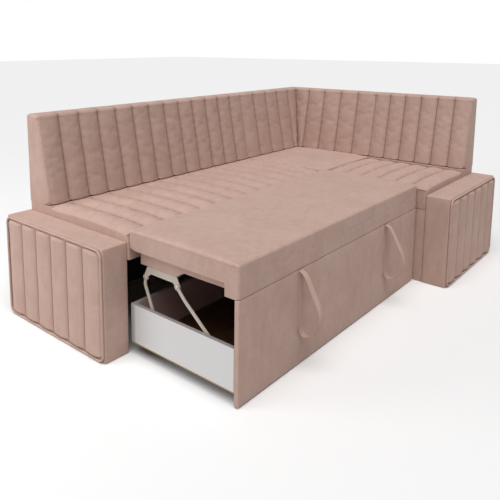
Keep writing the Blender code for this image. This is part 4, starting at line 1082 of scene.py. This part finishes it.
@dataclass
class Backs(Section):
    """The four channelled backs, mitred where two of them meet in the corner."""

    top_thickness: float = 0.078
    round_over: float = 0.017
    foot_round: float = 0.005
    rear_round: float = 0.006
    board_depth: float = 0.0124
    board_slope: float = 0.0045
    depth: float = 0.0125
    corner_channels: int = 5
    corner_tail: float = 0.025
    mitre_gap: float = 0.0006

    def outline(self, stem: str, thickness: float) -> Outline:
        """Draws a back's cross-section as distance from its rear plane and height.

        Args:
            stem: the back's name.
            thickness: its thickness at the foot.

        Returns:
            The outline.
        """
        low, high = (corner.z for corner in box_of(stem + "_cushion"))
        edge = box_of(stem + "_board")[1].z
        lean = (thickness - self.top_thickness) / (high - low)
        r, foot = self.round_over, self.foot_round
        head = self.top_thickness + lean * r
        outline = Outline().line(0.0, low, sunk=1.0).line(0.0, edge + TOUCH, 0.04, sunk=1.0)
        outline.line(0.0, edge + self.board_slope).line(0.0, high - self.rear_round, 0.012)
        outline.arc(self.rear_round, 180, 90, 3, roll=1.0)
        outline.line(head - r, high, 0.011, roll=1.0, seam=lambda share: 0.22 * share ** 2, loose=0.15)
        outline.arc(r, 90, 0, 6, roll=1.0, seam=lambda share: 0.22 + 0.78 * share, loose=0.4)
        outline.line(thickness - lean * foot, low + foot, 0.0115, roll=1.0, seam=1.0,
                     loose=lambda share: min(1.0, 1.25 * hump(share * 0.75, 0.3)))
        outline.arc(foot, 0, -90, 3, roll=1.0, seam=lambda share: 1.0 - 0.3 * share)
        return outline.line(0.03, low, 0.03)

    def pad(self, stem: str, along_y: bool, channels: int, pitch: float = 0.0, mitre: float = 0.0,
            draws: tuple[float, float] = (0.012, 0.004)) -> SewnPad:
        """Sets out one back.

        Args:
            stem: its name.
            along_y: whether it stands on the wing rather than on the long side.
            channels: how many channels it has.
            pitch: a channel's width, where they don't fill the length evenly.
            mitre: place of the mitre on the rear plane; nothing for a square end.
            draws: rounding of its two ends.

        Returns:
            The pad.
        """
        axis = int(along_y)
        low, high = box_of(stem + "_cushion")
        wall, start = high[1 - axis], low[axis]
        end = start + pitch * channels if mitre else high[axis]
        settle = end - pitch
        board_start, board_end = (corner[axis] for corner in box_of(stem + "_board"))
        if mitre and board_end > settle:
            board_end = settle + (board_end - settle) * pitch / (mitre - settle)
        elif mitre:
            board_end = min(board_end, settle - 0.002)

        def place(along: float, across: float, up: float) -> Vector:
            """Where a point of the row lies in the frame."""
            return Vector((wall - across, along, up) if along_y else (along, wall - across, up))

        def shift(along: float, across: float) -> float:
            """Slants the last channel of a mitred back."""
            if not mitre or along <= settle:
                return along
            return settle + (along - settle) * (mitre - across - settle) / pitch

        return SewnPad(stem.replace("corner_back", "corner") + "_velvet", stem + "_cushion", "bench",
                       self.outline(stem, wall - low[1 - axis]), start, end, place, channels=channels,
                       pitch=pitch, depth=self.depth, sharpness=2.6, draws=draws,
                       board=(self.board_depth, board_start, board_end), board_slope=self.board_slope,
                       swell=0.0012, shift=shift)

    def build(self) -> None:
        """Makes the four backs."""
        self.pad("long_back", False, 13).build(self.shop)
        low, high = box_of("long_back_cushion")
        thickness, count = high.y - low.y, self.corner_channels
        rear_end = box_of("corner_back_rear_cushion")[1].x
        for stem, along_y, mitre in (("corner_back_rear", False, rear_end),
                                     ("corner_back_side", True, high.y - self.mitre_gap)):
            start = box_of(stem + "_cushion")[0][int(along_y)]
            pitch = (mitre - start - thickness - self.corner_tail) / (count - 1)
            self.pad(stem, along_y, count, pitch, mitre, (0.004, 0.0)).build(self.shop)
        self.pad("wing_back", True, 6).build(self.shop)


@dataclass
class Arm(Section):
    """One arm: a covered box, a channelled pad on its outer face and a welt round the pad."""

    side: str
    length_axis: int
    out_axis: int
    channels: int = 6
    welt_radius: float = 0.0046
    welt_inset: float = 0.0062
    welt_corner: float = 0.0260
    pad_corner: float = 0.021
    pad_edge: float = 0.015
    pad_rise: float = 0.0015
    box_round: float = 0.005
    welt_lift: float = 0.0004
    crown: float = 0.0012

    def point(self, along: float, up: float, out: float) -> Vector:
        """A point on the outer face, from the wall end, the floor and the face outwards."""
        low, high = box_of(self.side + "_arm_box")
        spot = Vector((0.0, 0.0, up))
        spot[self.length_axis] = high[self.length_axis] - along
        spot[self.out_axis] = low[self.out_axis] - out
        return spot

    def pad(self) -> SewnPad:
        """Sets out the channelled pad."""
        node = self.side + "_arm_pad"
        low, high = box_of(node)
        wall = box_of(self.side + "_arm_box")[1][self.length_axis]
        start, end = wall - high[self.length_axis], wall - low[self.length_axis]
        foot, head = low.z, high.z
        full = high[self.out_axis] - low[self.out_axis] + self.pad_rise
        edge, middle, quarter = self.pad_edge, (foot + head) / 2, math.pi / 2
        outline = Outline().line(foot, TOUCH)
        outline.curve(lambda share: (foot + edge * (1 - math.cos(share * quarter)),
                                     TOUCH + full * math.sin(share * quarter)), 7, roll=0.7,
                      seam=lambda share: share ** 0.5, loose=lambda share: 0.6 * share)
        outline.line(head - edge, full + TOUCH, 0.012, roll=0.7, seam=1.0, loose=1.0)
        outline.curve(lambda share: (head - edge * (1 - math.sin(share * quarter)),
                                     TOUCH + full * math.cos(share * quarter)), 7, roll=0.7,
                      seam=lambda share: (1.0 - share) ** 0.5, loose=lambda share: 0.6 * (1 - share))
        outline.line(foot + 0.02, TOUCH, 0.03)

        def place(along: float, up: float, out: float) -> Vector:
            """Where a point of the row lies in the frame, with the pad's four corners rounded."""
            drop = rounding(self.pad_corner, min(along - start, end - along))
            scale = 1.0 - drop / (head - middle)
            return self.point(along, middle + (up - middle) * scale, max(out, TOUCH))

        return SewnPad(node + "_velvet", node, "bench", outline, start, end, place, channels=self.channels,
                       depth=0.0125, sharpness=2.2, draws=(0.012, 0.012), swell=0.0025, fill=0.8)

    def welt_path(self) -> list[Vector]:
        """The welt's centre line, a rectangle with round corners."""
        low, high = box_of(self.side + "_arm_box")
        corner = self.welt_corner
        near = self.welt_inset + corner
        far = high[self.length_axis] - low[self.length_axis] - near
        foot, head = low.z + near, high.z - near
        path = []
        for along, up, start in ((near, foot, 180), (far, foot, 270), (far, head, 0), (near, head, 90)):
            for k in range(9):
                turn = math.radians(start + 90 * k / 8)
                path.append(self.point(along + corner * math.cos(turn), up + corner * math.sin(turn),
                                       self.welt_radius + self.welt_lift))
        return path

    def welt(self) -> None:
        """Makes the welt: a piped cord in a velvet sleeve round the pad."""
        name = self.side + "_arm_welt"
        curve = bpy.data.curves.new(name + "_path", "CURVE")
        curve.dimensions = "3D"
        curve.bevel_depth = self.welt_radius
        curve.bevel_resolution = 3
        path = self.welt_path()
        spline = curve.splines.new("POLY")
        spline.points.add(len(path) - 1)
        for target, spot in zip(spline.points, path):
            target.co = (*spot, 1.0)
        spline.use_cyclic_u = True
        drawn = put(name + "_path", curve)
        mesh = bpy.data.meshes.new_from_object(drawn.evaluated_get(bpy.context.evaluated_depsgraph_get()))
        bm = bmesh.new()
        bm.from_mesh(mesh)
        bpy.data.objects.remove(drawn, do_unlink=True)
        bpy.data.meshes.remove(mesh)
        bmesh.ops.remove_doubles(bm, verts=bm.verts, dist=WELD)
        self.shop.hang(bm, name + "_velvet", "bench", Finish.VELVET, name, 0.9)

    def build(self) -> None:
        """Makes the arm."""
        crown = [self.crown] * 3
        crown[self.out_axis] = 0.0
        self.cover(self.side + "_arm_box", "bench", self.box_round, crown)
        self.pad().build(self.shop)
        self.welt()


@dataclass
class CoveredBoards(Section):
    """Boards with a thin layer of wadding under their velvet."""

    radius: float = 0.0028
    drawer_radius: float = 0.0045
    drawer_crown: float = 0.0015
    wing_crown: float = 0.001

    def build(self) -> None:
        """Covers the bed unit's front, the wing's front and the rails under the wing's back and slab."""
        self.cover("drawer_front_panel", "drawer", self.drawer_radius, (0.0, self.drawer_crown, 0.0))
        self.cover("wing_front_panel", "bench", self.radius, (self.wing_crown, 0.0, 0.0))
        self.cover("wing_back_rail", "bench", self.radius)
        self.cover("platform_rail_rear", "platform", self.radius)


@dataclass
class Platform(Section):
    """The raised slab of the bed unit and the covered rails under it."""

    round_over: float = 0.0085
    fascia: float = 0.0557
    fascia_round: float = 0.004
    crown: float = 0.003
    deep_length: float = 0.173
    slope_length: float = 0.039
    shallow: float = 0.0295

    def slab(self) -> SewnPad:
        """Sets out the slab with its front fascia."""
        low, high = box_of("platform_pad")
        width, bottom = high.y - low.y, low.z
        top = high.z - self.crown
        under = box_of("platform_rail_rear")[1].z + TOUCH
        r, small = self.round_over, self.fascia_round
        outline = Outline().line(small, bottom, roll=1.0).arc(small, 270, 180, 3, roll=1.0)
        outline.line(0.0, top - r, 0.012, roll=1.0, loose=lambda share: 0.5 * hump(share, 0.5))
        outline.arc(r, 180, 90, 5, roll=1.0, loose=0.15)
        outline.curve(lambda share: (r + (width - 2 * r) * share, top + self.crown * hump(share)), 42,
                      roll=1.0, loose=lambda share: hump(share, 0.3))
        outline.arc(r, 90, 0, 5, roll=1.0, loose=0.1)
        outline.line(width, under, 0.012, roll=1.0)
        outline.line(self.fascia, under, 0.03).line(self.fascia, bottom, 0.012)
        outline.line(2 * small, bottom, 0.02)
        return pad_on("platform_velvet", "platform_pad", "platform", outline, draws=(r, r), swell=0.003,
                      fill=0.75)

    def rail(self, side: str) -> SewnPad:
        """Sets out one side rail, left or right, deep at the rear and shallow at the front."""
        node = "platform_rail_" + side
        low, high = box_of(node)
        length, top, deep = high.y - low.y, high.z, low.z
        shallow, step = top - self.shallow, length - self.deep_length
        outline = Outline().line(0.0, shallow).line(0.0, top, 0.02)
        outline.line(length, top, 0.02).line(length, deep, 0.012, roll=1.0).line(step, deep, 0.02, roll=1.0)
        outline.line(step - self.slope_length, shallow, 0.012, roll=1.0).line(0.02, shallow, 0.02, roll=1.0)
        return pad_on(node + "_velvet", node, "platform", outline, step=0.005, draws=(0.003, 0.003),
                      fill=0.95, swell=0.0, finish=Finish.BOARD_VELVET)

    def build(self) -> None:
        """Makes the slab and the side rails."""
        for pad in (self.slab(), self.rail("left"), self.rail("right")):
            pad.build(self.shop)


@dataclass
class PullStrap(Section):
    """A soft strap whose two ends are sewn into the seam above the front panel.

    Its inner strand hangs down the panel and its outer one bulges forwards. The knots follow its centre
    line, each as the distance from the panel and the height above the place where it is sewn in.
    """

    node: str
    offset: float
    sewn_below: float = 0.004
    width: float = 0.026
    thickness: float = 0.0030
    clearance: float = 0.0004
    cup: float = 0.0026
    ripple: float = 0.0010
    sway: float = 0.006
    narrowing: float = 0.14
    knots: tuple[tuple[float, float], ...] = (
        (0.0022, 0.000), (0.0024, -0.050), (0.0028, -0.100), (0.0024, -0.150), (0.0022, -0.187),
        (0.0060, -0.214), (0.0160, -0.228), (0.0320, -0.229), (0.0480, -0.220), (0.0660, -0.202),
        (0.0800, -0.177), (0.0870, -0.150), (0.0850, -0.126), (0.0770, -0.103), (0.0650, -0.080),
        (0.0520, -0.055), (0.0390, -0.030), (0.0260, -0.010), (0.0130, -0.001), (0.0022, 0.001))

    def centre(self, share: float) -> Vector:
        """A point on a smooth line through the knots."""
        last = len(self.knots) - 1
        span = share * last
        index = min(int(span), last - 1)
        t = span - index
        near = [Vector(self.knots[min(max(index + k, 0), last)]) for k in (-1, 0, 1, 2)]
        return 0.5 * ((2 * near[1]) + (near[2] - near[0]) * t
                      + (2 * near[0] - 5 * near[1] + 4 * near[2] - near[3]) * t * t
                      + (3 * near[1] - near[0] - 3 * near[2] + near[3]) * t ** 3)

    def build(self) -> None:
        """Makes the strap: thicker cloth, cupped, rippled and swaying a little where it hangs free."""
        low, high = box_of("drawer_front_panel")
        top = Vector((low.x + self.offset, low.y, high.z - self.sewn_below))
        bm = bmesh.new()
        bmesh.ops.create_grid(bm, x_segments=96, y_segments=8, size=0.5)
        for vert in bm.verts:
            share, across = vert.co.x + 0.5, 2.0 * vert.co.y
            run = (self.centre(min(share + 0.004, 1.0)) - self.centre(max(share - 0.004, 0.0))).normalized()
            free = hump(share, 0.6)
            cup = self.cup * (1.0 - across ** 2) * free
            ripple = self.ripple * free * noise.noise(Vector((share * 8.0, across * 1.2, 4.2)))
            sway = self.sway * free * math.sin(5.0 * share + 0.4)
            spot = self.centre(share) + Vector((-run.y, run.x)) * (ripple - cup)
            out = max(spot.x, self.thickness / 2 + self.clearance)
            from_end = min(1.0, 7.0 * min(share, 1.0 - share))
            half = 0.5 * self.width * (1.0 - self.narrowing + self.narrowing * from_end)
            vert.co = Vector((top.x + across * half + sway, top.y - out, top.z + spot.y))
        obj = self.shop.hang(bm, self.node + "_velvet", "drawer", Finish.STRAP_VELVET, self.node)
        wall = obj.modifiers.new("cloth_thickness", "SOLIDIFY")
        wall.thickness = self.thickness
        wall.offset = 0.0
        soften(obj, True)


@dataclass
class Fasteners(Section):
    """Rivets at the lift's pivots, screws in plates and brackets, and staples round the rear boards."""

    rivet: float = 0.0062
    bracket_rivet: float = 0.9
    screw: float = 0.0034
    plate_rise: float = 0.0011
    bracket_rise: float = 0.0012
    screw_rise: float = 0.0013
    plate_rivets: tuple[tuple[float, float], ...] = ((-0.0445, 0.299), (-0.1985, 0.306))
    bracket_rivets: tuple[float, ...] = (-0.1149, -0.4396)
    bracket_screws: tuple[float, ...] = (-0.170, -0.277, -0.385)
    bracket_height: float = 0.100
    bracket_skin: float = 0.003
    castor_screw: float = 0.0028
    castor_margin: float = 0.0045
    castor_plate: float = 0.0016
    staple: tuple[float, float] = (0.010, 0.0011)
    staple_pitch: float = 0.062
    staple_margins: tuple[float, float] = (0.020, 0.012)

    @staticmethod
    def disc(bm: bmesh.types.BMesh, centre: tuple[float, float, float], axis: tuple[float, float, float],
             radius: float, height: float) -> None:
        """Adds a domed head with a driver's recess or a rivet's dimple in it.

        Args:
            bm: where it goes.
            centre: middle of its seat.
            axis: the way that it faces.
            radius: its radius.
            height: its height.
        """
        seat, way = Vector(centre), Vector(axis)
        turn = Vector((0.0, 0.0, 1.0)).rotation_difference(way).to_matrix().to_4x4()
        matrix = Matrix.Translation(seat + way * height / 2) @ turn
        made = bmesh.ops.create_cone(bm, cap_ends=True, segments=16, radius1=radius, radius2=radius * 0.72,
                                     depth=height, matrix=matrix)
        caps = {face for vert in made["verts"] for face in vert.link_faces if len(face.verts) == 16}
        outer = max(caps, key=lambda face: (face.calc_center_median() - seat).dot(way))
        for rim, rise in ((0.22, 0.18), (0.16, -0.45)):
            bmesh.ops.inset_individual(bm, faces=[outer], thickness=radius * rim, depth=height * rise)

    def lift_fixings(self) -> None:
        """Makes the rivet heads at the lift's pivots and the screws in its brackets."""
        for side, sign in (("left", -1.0), ("right", 1.0)):
            outer = int(side == "right")
            bm = bmesh.new()
            face = box_of("lift_plate_" + side)[outer].x
            for y, z in self.plate_rivets:
                self.disc(bm, (face, y, z), (sign, 0.0, 0.0), self.rivet, self.plate_rise)
            self.shop.hang(bm, "lift_rivets_" + side, "platform", Finish.ZINC_STEEL)
            bm = bmesh.new()
            bracket = box_of("link_bracket_" + side)
            for y in self.bracket_rivets:
                self.disc(bm, (bracket[1 - outer].x, y, self.bracket_height), (-sign, 0.0, 0.0),
                          self.rivet * self.bracket_rivet, self.bracket_rise)
            for y in self.bracket_screws:
                self.disc(bm, (bracket[outer].x - sign * self.bracket_skin, y, self.bracket_height),
                          (-sign, 0.0, 0.0), self.screw, self.screw_rise)
            self.shop.hang(bm, "bracket_fixings_" + side, "drawer", Finish.ZINC_STEEL)

    def castor_screws(self) -> None:
        """Makes two screws in each castor's plate, seen from below."""
        bm = bmesh.new()
        for wheel in WHEELS:
            low, high = box_of("castor_fork_" + wheel)
            for y in (low.y + self.castor_margin, high.y - self.castor_margin):
                self.disc(bm, ((low.x + high.x) / 2, y, high.z - self.castor_plate), (0.0, 0.0, -1.0),
                          self.castor_screw, self.plate_rise)
        self.shop.hang(bm, "castor_screws", "drawer", Finish.ZINC_STEEL)

    def rear_staples(self) -> None:
        """Makes the staples that hold the lining to the backs' boards."""
        bm = bmesh.new()
        length, wire = self.staple
        from_end, from_edge = self.staple_margins
        for board, axis in (("long_back_board", 0), ("corner_back_rear_board", 0),
                            ("corner_back_side_board", 1), ("wing_back_board", 1)):
            low, high = box_of(board)
            run = high[axis] - low[axis] - 2 * from_end
            count = round(run / self.staple_pitch)
            size = [wire * 0.8, wire * 0.8, wire, 1.0]
            size[axis] = length
            for k in range(count + 1):
                for up in (low.z + from_edge, high.z - from_edge):
                    middle = Vector((0.0, 0.0, up))
                    middle[axis] = low[axis] + from_end + run * k / count
                    middle[1 - axis] = high[1 - axis] + wire * 0.4 - 0.00005
                    matrix = Matrix.Translation(middle) @ Matrix.Diagonal(size)
                    bmesh.ops.create_cube(bm, size=1.0, matrix=matrix)
        self.shop.hang(bm, "rear_staples", "bench", Finish.ZINC_STEEL)

    def build(self) -> None:
        """Makes them all."""
        self.lift_fixings()
        self.castor_screws()
        self.rear_staples()


@dataclass
class RigidPieces(Section):
    """The frame's bare boards and metal, which keep their own shapes."""

    lining: tuple[str, ...] = ("long_back_board", "corner_back_rear_board", "corner_back_side_board",
                               "wing_back_board", "bay_rear_wall", "bay_right_wall", "wing_rear_wall")
    plywood: tuple[str, ...] = ("long_seat_board", "corner_seat_board", "wing_lid_frame")
    drawer_laminate: tuple[str, ...] = ("drawer_left_side", "drawer_right_side", "drawer_rear_panel")
    box_laminate: tuple[str, ...] = ("wing_box_divider", "wing_box_end")
    painted: tuple[str, ...] = ("rear_link_", "front_link_", "lift_plate_", "link_bracket_")

    def build(self) -> None:
        """Gives each of them its material."""
        finishes = self.shop.finishes
        hinges = ["lid_hinge_%s_%d" % (leaf, count) for leaf in ("fixed", "moving") for count in (1, 2)]
        for nodes, material in (
                (self.lining, finishes[Finish.LINING]),
                (self.plywood, finishes[Finish.PLYWOOD]),
                (self.drawer_laminate, self.shop.drawer_laminate),
                (self.box_laminate, finishes[Finish.LAMINATE]),
                (("drawer_bottom",), self.shop.drawer_hardboard),
                (("wing_box_floor",), finishes[Finish.HARDBOARD]),
                ([stem + side for stem in self.painted for side in ("left", "right")],
                 finishes[Finish.PAINTED_STEEL]),
                (["castor_fork_" + wheel for wheel in WHEELS], finishes[Finish.ZINC_STEEL]),
                (["castor_wheel_" + wheel for wheel in WHEELS], finishes[Finish.PLASTIC]),
                (hinges, finishes[Finish.ZINC_STEEL])):
            self.shop.dress(nodes, material)


@dataclass
class Studio:
    """The pale floor, the soft light and the camera."""

    groups: Groups
    floor_half: float = 30.0
    floor_drop: float = 0.0005
    ambient: float = 0.22
    overhead: float = 2.45
    overhead_angle: float = 50.0
    overhead_turn: tuple[float, float, float] = (13.0, -19.0, 0.0)
    side: float = 27.0
    side_size: float = 1.5
    side_place: tuple[float, float, float] = (-3.1, 1.7, 1.35)
    side_target: tuple[float, float, float] = (-0.9, 0.1, 0.3)
    camera_place: tuple[float, float, float] = (-2.190, -1.4845, 1.110)
    camera_turn: tuple[float, float, float] = (81.38, 0.0, -48.21)
    lens: float = 41.77
    sensor: float = 36.0
    shift: tuple[float, float] = (0.0876, -0.24)

    def floor(self) -> None:
        """Lays the floor."""
        bm = bmesh.new()
        bmesh.ops.create_grid(bm, x_segments=1, y_segments=1, size=self.floor_half)
        mesh = bpy.data.meshes.new("floor")
        bm.to_mesh(mesh)
        bm.free()
        mesh.materials.append(FloorFinish().make("studio_floor", self.groups))
        obj = put("floor", mesh)
        obj.location.z = -self.floor_drop

    def world(self) -> None:
        """Lights the scene evenly from all round, with a white background to look at."""
        world = bpy.data.worlds.new("studio")
        world.use_nodes = True
        bpy.context.scene.world = world
        wire = Wiring(world.node_tree)
        rays = wire.node("ShaderNodeLightPath").outputs
        seen = wire.sums("MAXIMUM", rays["Is Camera Ray"], rays["Is Glossy Ray"])
        seen = wire.sums("MAXIMUM", seen, rays["Is Transmission Ray"])
        wire.fill(world.node_tree.nodes["Background"], {
            "Color": (1.0, 1.0, 1.0), "Strength": wire.remap(seen, 0.0, 1.0, self.ambient, 1.0)})

    def lamps(self) -> None:
        """Hangs a broad soft lamp overhead and a smaller one at the left."""
        overhead = bpy.data.lights.new("overhead", "SUN")
        overhead.energy = self.overhead
        overhead.angle = math.radians(self.overhead_angle)
        put("overhead", overhead).rotation_euler = [math.radians(value) for value in self.overhead_turn]
        side = bpy.data.lights.new("side", "AREA")
        side.energy = self.side
        side.size = self.side_size
        lamp = put("side", side)
        lamp.location = self.side_place
        aim = Vector(self.side_target) - Vector(self.side_place)
        lamp.rotation_euler = aim.to_track_quat("-Z", "Y").to_euler()

    def camera(self) -> None:
        """Sets the camera where the photograph was taken from."""
        data = bpy.data.cameras.new("camera")
        data.lens = self.lens
        data.sensor_width = self.sensor
        data.shift_x, data.shift_y = self.shift
        obj = put("camera", data)
        obj.location = self.camera_place
        obj.rotation_euler = [math.radians(value) for value in self.camera_turn]
        bpy.context.scene.camera = obj

    def build(self) -> None:
        """Sets up all of it."""
        bpy.context.scene.view_settings.view_transform = "Standard"
        self.floor()
        self.world()
        self.lamps()
        self.camera()


def main() -> None:
    """Builds every section in order."""
    logging.basicConfig(level=logging.INFO, format="%(message)s")
    shop = Workshop()
    Studio(shop.groups).build()
    for section in (RigidPieces(shop), Seats(shop), Backs(shop), Arm(shop, "left", 1, 0),
                    Arm(shop, "right", 0, 1), Platform(shop), CoveredBoards(shop),
                    PullStrap(shop, "pull_strap_1", 0.332), PullStrap(shop, "pull_strap_2", 0.992),
                    Fasteners(shop)):
        section.build()
    shop.stuffing.run()


if __name__ == "__main__":
    main()
